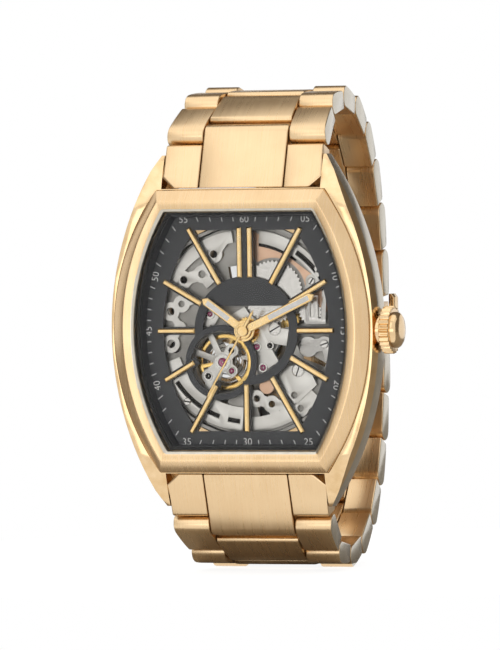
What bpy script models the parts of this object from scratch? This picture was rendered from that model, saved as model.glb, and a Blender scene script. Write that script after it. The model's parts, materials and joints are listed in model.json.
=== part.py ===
"""Skeleton wristwatch: tonneau case, open dial, automatic movement, link bracelet and folding clasp.

Sizes are in millimetres, and the finished bodies become metres at the end. +X points to the crown,
+Z to twelve o'clock, and the dial faces -Y. A depth d is measured forwards from the back, so y = -d.
"""
import math

import bmesh
import bpy
from mathutils import Matrix, Vector

MM = 0.001


def layer(below, gap, thick):
    """A level in front of another, as its near and far depth."""
    return below[1] + gap, below[1] + gap + thick


# Clearances
FIT = 0.1
MESH_GAP = 0.05

# Case back, from the wrist forwards
BACK_RADIUS = 17.4
BACK_THICK = 1.6
BACK_GLASS_RADIUS = 12.1
BACK_GLASS_THICK = 1.1
BACK_LEDGE = 0.7
BACK_NOTCHES = 6
NOTCH_RADIUS = 0.9
NOTCH_TURN = 0.07
GASKET_RADIUS = 16.3
GASKET_WIDE = 0.35
GASKET_THICK = 0.25

# Movement levels, each in front of the one behind it
ROTOR_THICK = 0.6
ROTOR_SHAKE = 0.15
BEARING_ROOM = 0.55
REAR_BRIDGE_THICK = 0.6
TRAIN_ROOM = 0.25
FOURTH_THICK = 0.25
WHEEL_THICK = 0.3
WHEEL_ROOM = 0.3
SPRING_HIGH = 0.24
SPRING_ROOM = 0.02
PLATE_ROOM = 0.04
PLATE_THICK = 1.0
FRONT_BRIDGE_THICK = 0.5
HOUR_WHEEL_THICK = 0.2
DIAL_THICK = 0.4
BALANCE_SET = 0.15
BALANCE_THICK = 0.45
STEM_SET = 0.54
ROTOR_D = layer((0, BACK_THICK), ROTOR_SHAKE, ROTOR_THICK)
REAR_BRIDGE_D = layer(ROTOR_D, BEARING_ROOM, REAR_BRIDGE_THICK)
FOURTH_D = layer(REAR_BRIDGE_D, TRAIN_ROOM, FOURTH_THICK)
THIRD_D = layer(FOURTH_D, FIT, WHEEL_THICK)
CENTRE_D = layer(THIRD_D, WHEEL_ROOM, WHEEL_THICK)
ESCAPE_D = layer(CENTRE_D, WHEEL_ROOM, WHEEL_THICK)
SPRING_D = layer(ESCAPE_D, SPRING_ROOM, SPRING_HIGH)
PLATE_D = layer(SPRING_D, PLATE_ROOM, PLATE_THICK)
FRONT_BRIDGE_D = layer(PLATE_D, FIT, FRONT_BRIDGE_THICK)
HOUR_WHEEL_D = layer(FRONT_BRIDGE_D, FIT, HOUR_WHEEL_THICK)
DIAL_D = layer(HOUR_WHEEL_D, FIT, DIAL_THICK)
BARREL_D = (FOURTH_D[0], PLATE_D[0] - BALANCE_SET)
BALANCE_D = (PLATE_D[0] + BALANCE_SET, PLATE_D[0] + BALANCE_SET + BALANCE_THICK)
RATCHET_D = (FRONT_BRIDGE_D[0] + MESH_GAP, FRONT_BRIDGE_D[1] - FIT)
STEM_D = DIAL_D[0] - STEM_SET

# Plates and train, places as (x, z)
BORE_RADIUS = 15.8
RING_THICK = 0.45
PLATE_RADIUS = 15.1
THIRD_AT = (1.8, -2.4)
ESCAPE_AT = (-0.9, -2.86)
PALLET_AT = (-2.68, -3.86)
BALANCE_AT = (-3.9, -4.6)
BARREL_AT = (3.9, 5.6)
CROWN_WHEEL_AT = (9.6, 2.6)
TRAIN_WHEEL_RADIUS = 2.45
PINION_RADIUS = 0.5
ARBOR_RADIUS = 0.22
BARREL_TOOTH_RADIUS = 5.7
RATCHET_RADIUS = 4.6
BALANCE_RADIUS = 4.1
BALANCE_RIM = 0.6
HAIRSPRING_TURNS = 4
HAIRSPRING_PITCH = 0.6
HAIRSPRING_INNER = 0.75
SPRING_WIRE = 0.14
MAINSPRING_TURNS = 4
MAINSPRING_PITCH = 0.62
MAINSPRING_INNER = 1.1
MAINSPRING_ROOM = 0.15
BARREL_WALL = 0.3
MAINSPRING_OUTER = MAINSPRING_INNER + MAINSPRING_PITCH * MAINSPRING_TURNS + SPRING_WIRE / 2
BARREL_INSIDE = MAINSPRING_OUTER + MAINSPRING_ROOM
BARREL_DRUM_RADIUS = BARREL_INSIDE + BARREL_WALL
ROTOR_RADIUS = 13.2
ROTOR_BOSS_RADIUS = 3.0
ROTOR_WINDOW_RADIUS = 2.6
ROTOR_WINDOW_REACH = 7.0
BEARING_RADIUS = 1.25
BEARING_FLANGE = 2.2

# Openings: a hole as clock angle, distance, radius, a slot as clock angle, start, end, width
PLATE_HOLES = ((337, 12.0, 1.0), (309, 12.3, 0.95), (285, 11.8, 0.85), (258, 11.6, 0.85))
PLATE_SLOTS = (
    (120, 5.0, 12.6, 3.4), (165, 5.0, 12.8, 3.6), (205, 10.4, 13.6, 2.6),
    (350, 6.4, 9.6, 2.8), (78, 5.0, 12.4, 1.6),
)
# Train bridge arms: reach, width, clock angle
BRIDGE_ARMS = ((6.3, 2.6, 55), (6.2, 2.4, 100))

# Hands: clock angle, length, width and depth
INDEX_HIGH = 0.45
INDEX_D = DIAL_D[1] + INDEX_HIGH
HAND_THICK = 0.2
HAND_GAP = 0.25
HAND_STEP = HAND_THICK + HAND_GAP
HAND_TUBE = (0.36, 0.62, 0.7, 1.0)
HOUR_HAND = (306.0, 8.0, 1.25, INDEX_D + HAND_GAP)
MINUTE_HAND = (64.5, 12.1, 1.25, HOUR_HAND[3] + HAND_STEP)
SECONDS_HAND = (210.0, 11.3, 0.3, MINUTE_HAND[3] + HAND_STEP)
SECONDS_TAIL = 3.6

# Bracelet width, which the lugs are set by
WIDTH_AT_CASE = 24.0
WIDTH_AT_CLASP = 18.0
LUG_HALF = WIDTH_AT_CASE / 2

# Case and bezel: half height, half width at the corners and half width at the middle of each outline
CASE_BELLY = (25.5, LUG_HALF + 0.6, 20.43)
CASE_FOOT = (22.8, LUG_HALF + 0.3, 17.9)
CASE_SHOULDER = (25.0, LUG_HALF + 0.5, 19.95)
BEZEL_OUTER = (20.5, LUG_HALF + 0.8, 19.55)
BEZEL_RIDGE = (18.9, LUG_HALF + 0.2, 17.75)
BEZEL_LIP = (17.3, LUG_HALF - 0.7, 16.1)
DIAL_OUTLINE = (17.6, LUG_HALF - 0.4, 16.35)
DIAL_WINDOW = (14.6, 7.6, 12.7)
LEDGE_INSET = 0.45
CRYSTAL_THICK = 1.15
FOOT_RISE = 0.4
BEZEL_DEEP = 1.25
BEZEL_EDGE_RISE = 0.45
RIDGE_RISE = 0.25
SHOULDER_DROP = 0.15
BELLY_DROP = 1.4
BELLY_HIGH = 3.1
LUG_RISE = 0.3
LUG_DROP = 2.4
CASE_FOOT_D = BACK_THICK + FOOT_RISE
LEDGE_D = SECONDS_HAND[3] + FIT
BEZEL_SEAT_D = LEDGE_D - BEZEL_DEEP
BEZEL_EDGE_D = LEDGE_D + BEZEL_EDGE_RISE
LIP_D = LEDGE_D + FIT + GASKET_THICK + FIT / 2 + CRYSTAL_THICK + FIT
RIDGE_D = LIP_D + RIDGE_RISE
SHOULDER_D = BEZEL_EDGE_D - SHOULDER_DROP
BELLY_HIGH_D = SHOULDER_D - BELLY_DROP
BELLY_LOW_D = BELLY_HIGH_D - BELLY_HIGH
LUG_TOP_FROM = (18.0, SHOULDER_D + LUG_RISE)
LUG_TOP_TO = (25.5, SHOULDER_D - LUG_DROP)
SIDE_STEPS = 12

# Dial
INDEX_WIDE = 0.95
INDEX_INNER = 7.6
INDEX_OUTER = (15.0, 17.2, 14.4, 13.5, 14.4, 17.1, 14.7, 17.1, 14.4, 13.5, 14.4, 17.2)
RING_OUTER = 7.9
RING_INNER = 6.6
RING_CHORD = 3.6
BALANCE_RING = (4.55, 5.45)

# Crown and stem
STEM_RADIUS = 0.4
STEM_INNER_X = 11.6
CROWN_TUBE_RADIUS = 2.4
CROWN_TUBE_X = CASE_BELLY[2] + 0.32
CROWN_RADIUS = 3.45
CROWN_FLUTES = 28
CROWN_RING_LENGTH = 1.5
CROWN_CAP_RADIUS = 2.6
CROWN_CAP_LENGTH = 1.1

# Bracelet: pins lie on a closed curve round the wrist
LINK_THICK = 3.2
LOOP_HALF_HEIGHT = 33.7
LOOP_CENTRE_Y = 6.0
LOOP_FRONT = 19.1
LOOP_BACK = 24.6
LOOP_POWER = 2.2
FIRST_PIN_Z = 28.3
LAST_PIN_Z = 1.95
ROWS = 8
CENTRE_SHARE = 0.533
LINK_GAP = 0.25
SEAM = 0.15
LINK_CHAMFER = 0.35
PIN_RADIUS = 0.5
PIN_BORE = 0.56
BAR_RADIUS = 0.7
END_LINK_Z = 20.75
END_LINK_D = 8.1
RECESS_HALF = LUG_HALF + 0.15
SPRING_BAR_Z = 23.3
SPRING_BAR_RADIUS = 0.6
SPRING_BAR_SET = 0.6
SPRING_BAR_REACH = LUG_HALF + 0.8
END_CHAMFER = 1.2

# Clasp
BLADE_LENGTH = 8.2
BLADE_THICK = 0.8
EAR_RADIUS = 1.2
EAR_WIDE = 1.6
KNUCKLE_RADIUS = 0.75
KNUCKLE_HALF = 3.0
BASE_THICK = 0.8
BASE_INSET = 0.2
BASE_HALF = WIDTH_AT_CLASP / 2 - BASE_INSET
HOUSING_HALF_Z = 2.9
HOUSING_LENGTH = 1.8
HOUSING_INNER_X = BASE_HALF - HOUSING_LENGTH
BLADE_SIDE_GAP = 0.4
BLADE_HALF = HOUSING_INNER_X - BLADE_SIDE_GAP
BUTTON_STAND = 0.75
BUTTON_HEAD_X = BASE_HALF + BUTTON_STAND
BUTTON_HEAD_LONG = 0.85
BUTTON_END_X = BUTTON_HEAD_X + BUTTON_HEAD_LONG
BUTTON_HALF_Z = 4.1
BUTTON_SHANK_Z = 2.0
BUTTON_HALF_Y = 0.85
BUTTON_TRAVEL = 0.5

GOLD = (0.80, 0.58, 0.30, 1.0)
STEEL = (0.62, 0.62, 0.60, 1.0)
CHARCOAL = (0.03, 0.03, 0.035, 1.0)
BRASS = (0.72, 0.52, 0.22, 1.0)
GLASS = (0.85, 0.88, 0.90, 1.0)
RUBBER = (0.02, 0.02, 0.02, 1.0)


def paint(name, colour, roughness, metallic):
    """A plain material for a sub-part."""
    material = bpy.data.materials.new(name)
    material.use_nodes = True
    shader = material.node_tree.nodes["Principled BSDF"]
    shader.inputs["Base Color"].default_value = colour
    shader.inputs["Roughness"].default_value = roughness
    shader.inputs["Metallic"].default_value = metallic
    return material


def clear_scene():
    for item in list(bpy.data.objects):
        bpy.data.objects.remove(item)


clear_scene()
FINISH = {
    "gold": paint("gold_plate", GOLD, 0.25, 1.0),
    "steel": paint("steel", STEEL, 0.35, 1.0),
    "dial": paint("dial_black", CHARCOAL, 0.5, 0.0),
    "brass": paint("brass", BRASS, 0.3, 1.0),
    "glass": paint("glass", GLASS, 0.05, 0.0),
    "rubber": paint("rubber", RUBBER, 0.7, 0.0),
}


# Outlines, as lists of (x, z) points
def circle(radius, steps, at=(0.0, 0.0), turn=0.0):
    """Points round a circle."""
    angles = [turn + 2 * math.pi * i / steps for i in range(steps)]
    return [(at[0] + radius * math.cos(a), at[1] + radius * math.sin(a)) for a in angles]


def tonneau(half_height, corner, middle):
    """Two bowed sides between straight ends."""
    bow = middle - corner
    radius = (half_height ** 2 + bow ** 2) / (2 * bow)
    reach = math.asin(half_height / radius)
    angles = [reach * (2 * i / SIDE_STEPS - 1) for i in range(SIDE_STEPS + 1)]
    right = [(middle - radius + radius * math.cos(a), radius * math.sin(a)) for a in angles]
    return right + [(-x, -z) for x, z in right]


def grown(outline, by):
    """A tonneau's three sizes, made larger all round."""
    return tuple(size + by for size in outline)


def gear(teeth, tip, depth, at):
    """Pointed teeth round a wheel."""
    points = []
    for i in range(2 * teeth):
        angle = math.pi * i / teeth
        radius = tip - depth * (i % 2)
        points.append((at[0] + radius * math.cos(angle), at[1] + radius * math.sin(angle)))
    return points


def bar(inner, outer, width, clock_angle, at=(0.0, 0.0)):
    """A straight bar pointing at a clock angle, in degrees from twelve."""
    angle = math.radians(clock_angle)
    along = (math.sin(angle), math.cos(angle))
    across = (along[1], -along[0])
    corners = [(inner, -width / 2), (outer, -width / 2), (outer, width / 2), (inner, width / 2)]
    xs = [at[0] + r * along[0] + w * across[0] for r, w in corners]
    zs = [at[1] + r * along[1] + w * across[1] for r, w in corners]
    return list(zip(xs, zs))


# Solids
def solid(name, loops, finish, ring=False):
    """A closed body through loops of points in millimetres: capped at both ends, or closed into a ring."""
    mesh = bmesh.new()
    rows = [[mesh.verts.new(Vector(p)) for p in loop] for loop in loops]
    pairs = list(zip(rows, rows[1:]))
    if ring:
        pairs.append((rows[-1], rows[0]))
    else:
        mesh.faces.new(rows[0])
        mesh.faces.new(rows[-1])
    for low, high in pairs:
        for i in range(len(low)):
            j = (i + 1) % len(low)
            mesh.faces.new((low[i], low[j], high[j], high[i]))
    bmesh.ops.recalc_face_normals(mesh, faces=mesh.faces)
    data = bpy.data.meshes.new(name)
    mesh.to_mesh(data)
    mesh.free()
    data.materials.append(FINISH[finish])
    item = bpy.data.objects.new(name, data)
    bpy.context.scene.collection.objects.link(item)
    return item


def level(outline, depth):
    return [(x, -depth, z) for x, z in outline]


def inset_depths(depths, by):
    """Depths drawn in a little, so that joined bodies share no flat face."""
    return depths[0] + by, depths[1] - by


def prism(name, outline, depths, finish):
    """An outline seen from the front, run between two depths."""
    return solid(name, [level(outline, depths[0]), level(outline, depths[1])], finish)


def washer(name, outer, inner, depths, finish):
    """A flat ring between two outlines with as many points."""
    low, high = depths
    loops = [level(outer, low), level(outer, high), level(inner, high), level(inner, low)]
    return solid(name, loops, finish, ring=True)


def rod(name, radius, x_range, at, steps, finish):
    """A round bar along X at (y, z)."""
    loops = [[(x, at[0] + a, at[1] + b) for a, b in circle(radius, steps)] for x in x_range]
    return solid(name, loops, finish)


def block(name, x_range, y_range, z_range, finish):
    (x0, x1), (z0, z1) = x_range, z_range
    corners = [(x0, z0), (x1, z0), (x1, z1), (x0, z1)]
    return solid(name, [[(x, y, z) for x, z in corners] for y in y_range], finish)


def combine(target, tool, operation):
    """Join or cut a body with another, which is used up."""
    modifier = target.modifiers.new("shape", "BOOLEAN")
    modifier.object = tool
    modifier.operation = operation
    modifier.solver = "EXACT"
    graph = bpy.context.evaluated_depsgraph_get()
    data = bpy.data.meshes.new_from_object(target.evaluated_get(graph))
    target.modifiers.clear()
    target.data = data
    target.data.name = target.name
    bpy.data.objects.remove(tool)
    return target


def join(target, *tools):
    for tool in tools:
        combine(target, tool, "UNION")
    return target


def cut(target, *tools):
    for tool in tools:
        combine(target, tool, "DIFFERENCE")
    return target


def set_origin(item, point):
    """Put a body's origin on its joint's axis, in millimetres."""
    place = Vector(point)
    item.data.transform(Matrix.Translation(-place))
    item.location = place
    return item


def arbor(name, at, depths, radius, finish, steps=10):
    return prism(name, circle(radius, steps, at), depths, finish)


# Case, bezel and back
def make_case():
    levels = [(CASE_FOOT, CASE_FOOT_D), (CASE_BELLY, BELLY_LOW_D)]
    levels += [(CASE_BELLY, BELLY_HIGH_D), (CASE_SHOULDER, SHOULDER_D)]
    case = solid("case", [level(tonneau(*sizes), d) for sizes, d in levels], "gold")
    front = RIDGE_D + 1
    top, low = LUG_TOP_FROM, LUG_TOP_TO
    slope = (top[1] - low[1]) / (low[0] - top[0])
    reach = CASE_BELLY[0] + 2
    for side in (1, -1):
        far_d = top[1] - slope * (reach - top[0])
        outline = [(top[0], top[1]), (reach, far_d), (reach, front), (top[0], front)]
        loops = [[(x, -d, side * z) for z, d in outline] for x in (-BACK_RADIUS - 6, BACK_RADIUS + 6)]
        cut(case, solid("lug_slope", loops, "gold"))
        recess_z = (side * (END_LINK_Z - FIT), side * reach)
        cut(case, block("lug_recess", (-RECESS_HALF, RECESS_HALF), (-front, 1), sorted(recess_z), "gold"))
        bar_at = end_link_point(SPRING_BAR_Z) + SPRING_BAR_SET
        hole = (-SPRING_BAR_REACH - FIT, SPRING_BAR_REACH + FIT)
        cut(case, rod("bar_hole", SPRING_BAR_RADIUS + FIT, hole, (bar_at, side * SPRING_BAR_Z), 10, "gold"))
    cut(case, prism("bezel_pocket", tonneau(*grown(BEZEL_OUTER, FIT)), (BEZEL_SEAT_D - FIT, front), "gold"))
    cut(case, prism("dial_pocket", tonneau(*grown(DIAL_OUTLINE, FIT)), (DIAL_D[0] - FIT, front), "gold"))
    cut(case, prism("bore", circle(BORE_RADIUS, 40), (CASE_FOOT_D - 1, front), "gold"))
    tube = (CASE_BELLY[2] - 0.5, CROWN_TUBE_X)
    join(case, rod("crown_tube", CROWN_TUBE_RADIUS, tube, (-STEM_D, 0), 20, "gold"))
    stem_hole = (STEM_INNER_X, CROWN_TUBE_X + 1)
    cut(case, rod("stem_hole", STEM_RADIUS + FIT, stem_hole, (-STEM_D, 0), 12, "gold"))


def make_bezel():
    ledge = grown(BEZEL_LIP, -LEDGE_INSET)
    profile = [
        (BEZEL_OUTER, BEZEL_SEAT_D), (BEZEL_OUTER, BEZEL_EDGE_D),
        (BEZEL_RIDGE, RIDGE_D), (BEZEL_LIP, LIP_D),
        (BEZEL_LIP, LEDGE_D), (ledge, LEDGE_D), (ledge, BEZEL_SEAT_D),
    ]
    solid("bezel", [level(tonneau(*sizes), d) for sizes, d in profile], "gold", ring=True)
    edge = tonneau(*grown(BEZEL_LIP, -FIT))
    inside = tonneau(*grown(BEZEL_LIP, -FIT - GASKET_WIDE))
    seat = LEDGE_D + FIT
    washer("crystal_gasket", edge, inside, (seat, seat + GASKET_THICK), "rubber")
    low = seat + GASKET_THICK + FIT / 2
    prism("crystal", edge, (low, low + CRYSTAL_THICK), "glass")


def make_back():
    seat_d = BACK_GLASS_THICK + FIT
    ledge = BACK_GLASS_RADIUS - BACK_LEDGE
    seat = BACK_GLASS_RADIUS + FIT
    profile = [(BACK_RADIUS, 0), (BACK_RADIUS, BACK_THICK), (ledge, BACK_THICK)]
    profile += [(ledge, seat_d), (seat, seat_d), (seat, 0)]
    ring = solid("case_back", [level(circle(r, 40), d) for r, d in profile], "gold", ring=True)
    middle = (BACK_GLASS_RADIUS + BACK_RADIUS) / 2 + 0.6
    for at in circle(middle, BACK_NOTCHES, turn=NOTCH_TURN):
        cut(ring, prism("key_notch", circle(NOTCH_RADIUS, 10, at), (-1, BACK_THICK / 2), "gold"))
    prism("back_crystal", circle(BACK_GLASS_RADIUS, 48), (0, BACK_GLASS_THICK), "glass")
    gasket = (BACK_THICK + FIT / 2, CASE_FOOT_D - FIT / 2)
    washer("back_gasket", circle(GASKET_RADIUS + 0.6, 36), circle(GASKET_RADIUS, 36), gasket, "rubber")


def make_crown():
    ring_x = (CROWN_TUBE_X + FIT, CROWN_TUBE_X + FIT + CROWN_RING_LENGTH)
    flutes = gear(CROWN_FLUTES, CROWN_RADIUS, 0.3, (0, 0))
    loops = [[(x, -STEM_D + a, b) for a, b in flutes] for x in ring_x]
    crown = solid("crown", loops, "gold")
    cap_x = (ring_x[1] - FIT, ring_x[1] + 0.6 * CROWN_CAP_LENGTH, ring_x[1] + CROWN_CAP_LENGTH)
    radii = (CROWN_CAP_RADIUS, CROWN_CAP_RADIUS, 0.8 * CROWN_CAP_RADIUS)
    loops = [[(x, -STEM_D + a, b) for a, b in circle(r, 20)] for x, r in zip(cap_x, radii)]
    join(crown, solid("crown_cap", loops, "gold"))
    set_origin(crown, (ring_x[0], -STEM_D, 0))
    stem = rod("stem", STEM_RADIUS, (STEM_INNER_X, ring_x[0] - FIT / 2), (-STEM_D, 0), 12, "steel")
    set_origin(stem, (ring_x[0], -STEM_D, 0))


# Dial and hands
def make_dial():
    dial = washer("dial", tonneau(*DIAL_OUTLINE), tonneau(*DIAL_WINDOW), DIAL_D, "dial")
    for hour, outer in enumerate(INDEX_OUTER):
        index = bar(INDEX_INNER, outer, INDEX_WIDE, 30 * hour)
        join(dial, prism("index", index, (DIAL_D[0] + 0.05, INDEX_D), "dial"))
    chapter = (circle(RING_OUTER, 36), circle(RING_INNER, 36))
    join(dial, washer("chapter", chapter[0], chapter[1], inset_depths(DIAL_D, 0.02), "dial"))
    start = math.asin(RING_CHORD / RING_OUTER)
    sweep = math.pi - 2 * start
    angles = [start + sweep * i / 12 for i in range(13)]
    reach = 0.99 * RING_OUTER
    cap = [(reach * math.cos(a), reach * math.sin(a)) for a in angles]
    join(dial, prism("upper_field", cap, inset_depths(DIAL_D, 0.05), "dial"))
    inner, outer = BALANCE_RING
    join(dial, prism("balance_ring", circle(outer, 32, BALANCE_AT), inset_depths(DIAL_D, 0.01), "dial"))
    cut(dial, prism("balance_hole", circle(inner, 32, BALANCE_AT), (DIAL_D[0] - 1, INDEX_D + 1), "dial"))
    cut(dial, arbor("pipe_hole", (0, 0), (DIAL_D[0] - 1, INDEX_D + 1), HAND_TUBE[3] + FIT, "dial", 20))


def make_hand(name, sizes, bore, finish):
    """A straight baton hand on a round hub."""
    clock_angle, length, width, depth = sizes
    depths = (depth, depth + HAND_THICK)
    hand = prism(name, circle(bore + 0.55, 20), depths, finish)
    join(hand, prism("blade", bar(0.3, length, width, clock_angle), inset_depths(depths, 0.02), finish))
    return hand, depths


def make_hands():
    tube = HAND_TUBE
    hour, depths = make_hand("hour_hand", HOUR_HAND, tube[3], "gold")
    cut(hour, arbor("bore", (0, 0), (depths[0] - 1, depths[1] + 1), tube[3] + 0.05, "gold", 20))
    minute, depths = make_hand("minute_hand", MINUTE_HAND, tube[1], "gold")
    cut(minute, arbor("bore", (0, 0), (depths[0] - 1, depths[1] + 1), tube[1] + 0.05, "gold", 16))
    seconds, depths = make_hand("seconds_hand", SECONDS_HAND, tube[0], "gold")
    tail = bar(0.3, SECONDS_TAIL, SECONDS_HAND[2], SECONDS_HAND[0] + 180)
    join(seconds, prism("tail", tail, (depths[0] + 0.02, depths[1] - 0.02), "gold"))
    for hand in (hour, minute, seconds):
        set_origin(hand, (0, 0, 0))


# Movement
def make_wheel(name, at, depths, teeth, tip, spokes, finish):
    """A toothed wheel with windows between its spokes."""
    wheel = prism(name, gear(teeth, tip, 0.25, at), depths, finish)
    rim, hub = tip - 0.65, 0.3 * tip
    for k in range(spokes):
        first = 2 * math.pi * (k + 0.14) / spokes
        last = 2 * math.pi * (k + 0.86) / spokes
        steps = [first + (last - first) * i / 5 for i in range(6)]
        outline = [(rim, a) for a in steps] + [(hub, a) for a in reversed(steps)]
        points = [(at[0] + r * math.cos(a), at[1] + r * math.sin(a)) for r, a in outline]
        cut(wheel, prism("window", points, (depths[0] - 1, depths[1] + 1), finish))
    return set_origin(wheel, (at[0], 0, at[1]))


def add_local(item, at, tool):
    """Join a body made in the watch's frame to one whose origin is on its arbor."""
    return join(item, set_local(tool, at))


def set_local(tool, at):
    set_origin(tool, (at[0], 0, at[1]))
    return tool


def make_train():
    pinion_reach = TRAIN_WHEEL_RADIUS
    fourth = make_wheel("fourth_wheel", (0, 0), FOURTH_D, 40, pinion_reach, 4, "brass")
    staff = (REAR_BRIDGE_D[1] + MESH_GAP, SECONDS_HAND[3] - MESH_GAP)
    join(fourth, arbor("staff", (0, 0), staff, ARBOR_RADIUS, "brass"))
    join(fourth, arbor("pinion", (0, 0), (FOURTH_D[0] + 0.1, THIRD_D[1]), PINION_RADIUS, "brass"))
    centre = make_wheel("centre_wheel", (0, 0), CENTRE_D, 40, pinion_reach, 4, "brass")
    tube = (CENTRE_D[0] + 0.1, MINUTE_HAND[3] + HAND_THICK)
    join(centre, arbor("cannon", (0, 0), tube, HAND_TUBE[1], "brass", 16))
    barrel_gap = math.hypot(*BARREL_AT) - BARREL_TOOTH_RADIUS - MESH_GAP
    join(centre, arbor("pinion", (0, 0), (CENTRE_D[0] + 0.2, BARREL_D[1]), barrel_gap, "brass", 16))
    cut(centre, arbor("bore", (0, 0), (CENTRE_D[0] - 1, MINUTE_HAND[3] + 2), HAND_TUBE[0], "brass", 16))
    hour = prism("hour_wheel", gear(30, 2.0, 0.25, (0, 0)), HOUR_WHEEL_D, "brass")
    pipe = (HOUR_WHEEL_D[0] + 0.05, HOUR_HAND[3] + HAND_THICK)
    join(hour, arbor("pipe", (0, 0), pipe, HAND_TUBE[3], "brass", 20))
    cut(hour, arbor("bore", (0, 0), (pipe[0] - 1, pipe[1] + 1), HAND_TUBE[2], "brass", 16))
    reach = math.hypot(*THIRD_AT) - PINION_RADIUS - MESH_GAP
    third = make_wheel("third_wheel", THIRD_AT, THIRD_D, 40, reach, 4, "brass")
    between = (REAR_BRIDGE_D[1] + MESH_GAP, PLATE_D[0] - MESH_GAP)
    add_local(third, THIRD_AT, arbor("staff", THIRD_AT, between, ARBOR_RADIUS, "brass"))
    third_pinion = math.hypot(*THIRD_AT) - TRAIN_WHEEL_RADIUS - MESH_GAP
    pinion_d = (THIRD_D[0] + 0.1, CENTRE_D[1] + 0.1)
    add_local(third, THIRD_AT, arbor("pinion", THIRD_AT, pinion_d, third_pinion, "brass"))
    escape = make_wheel("escape_wheel", ESCAPE_AT, ESCAPE_D, 20, 1.6, 4, "steel")
    add_local(escape, ESCAPE_AT, arbor("staff", ESCAPE_AT, between, ARBOR_RADIUS, "steel"))
    escape_pinion = math.hypot(*ESCAPE_AT) - TRAIN_WHEEL_RADIUS - MESH_GAP
    pinion_d = (FOURTH_D[0] - 0.1, FOURTH_D[1] + 0.1)
    add_local(escape, ESCAPE_AT, arbor("pinion", ESCAPE_AT, pinion_d, escape_pinion, "steel"))


def make_barrel():
    rim_d = (BARREL_D[1] - 0.4, BARREL_D[1])
    barrel = prism("barrel", gear(60, BARREL_TOOTH_RADIUS, 0.3, BARREL_AT), rim_d, "brass")
    join(barrel, arbor("drum", BARREL_AT, (BARREL_D[0], rim_d[0] + 0.1), BARREL_DRUM_RADIUS, "brass", 32))
    inside = (BARREL_D[0] - 1, rim_d[0] - 0.1)
    wall, hub = circle(BARREL_INSIDE, 32, BARREL_AT), circle(0.8, 32, BARREL_AT)
    cut(barrel, washer("spring_room", wall, hub, inside, "brass"))
    cut(barrel, arbor("bore", BARREL_AT, (BARREL_D[0] - 1, BARREL_D[1] + 1), 0.5, "brass"))
    set_origin(barrel, (BARREL_AT[0], 0, BARREL_AT[1]))
    ratchet = prism("ratchet_wheel", gear(44, RATCHET_RADIUS, 0.35, BARREL_AT), RATCHET_D, "steel")
    square_d = (REAR_BRIDGE_D[1] + MESH_GAP, RATCHET_D[0] + 0.1)
    join(ratchet, arbor("square", BARREL_AT, square_d, 0.45, "steel"))
    set_origin(ratchet, (BARREL_AT[0], 0, BARREL_AT[1]))
    span = math.dist(BARREL_AT, CROWN_WHEEL_AT) - RATCHET_RADIUS - MESH_GAP
    crown_wheel = prism("crown_wheel", gear(18, span, 0.3, CROWN_WHEEL_AT), RATCHET_D, "steel")
    set_origin(crown_wheel, (CROWN_WHEEL_AT[0], 0, CROWN_WHEEL_AT[1]))


def spiral(name, at, depths, inner, pitch, turns, wire, finish):
    """A flat strip wound in a spiral, as one unbroken body. Its least gap to itself is printed."""
    steps = 24 * turns
    loops = []
    for i in range(steps + 1):
        angle = 2 * math.pi * i / 24
        radius = inner + pitch * i / 24
        way = (math.cos(angle), math.sin(angle))
        near, far = radius - wire / 2, radius + wire / 2
        edges = ((near, depths[0]), (far, depths[0]), (far, depths[1]), (near, depths[1]))
        loops.append([(at[0] + r * way[0], -d, at[1] + r * way[1]) for r, d in edges])
    centres = [inner + pitch * i / 24 for i in range(steps + 1)]
    least = min(b - a for a, b in zip(centres, centres[24:])) - wire
    print(name, "least gap between turns, mm:", round(least, 3))
    return solid(name, loops, finish)


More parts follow.
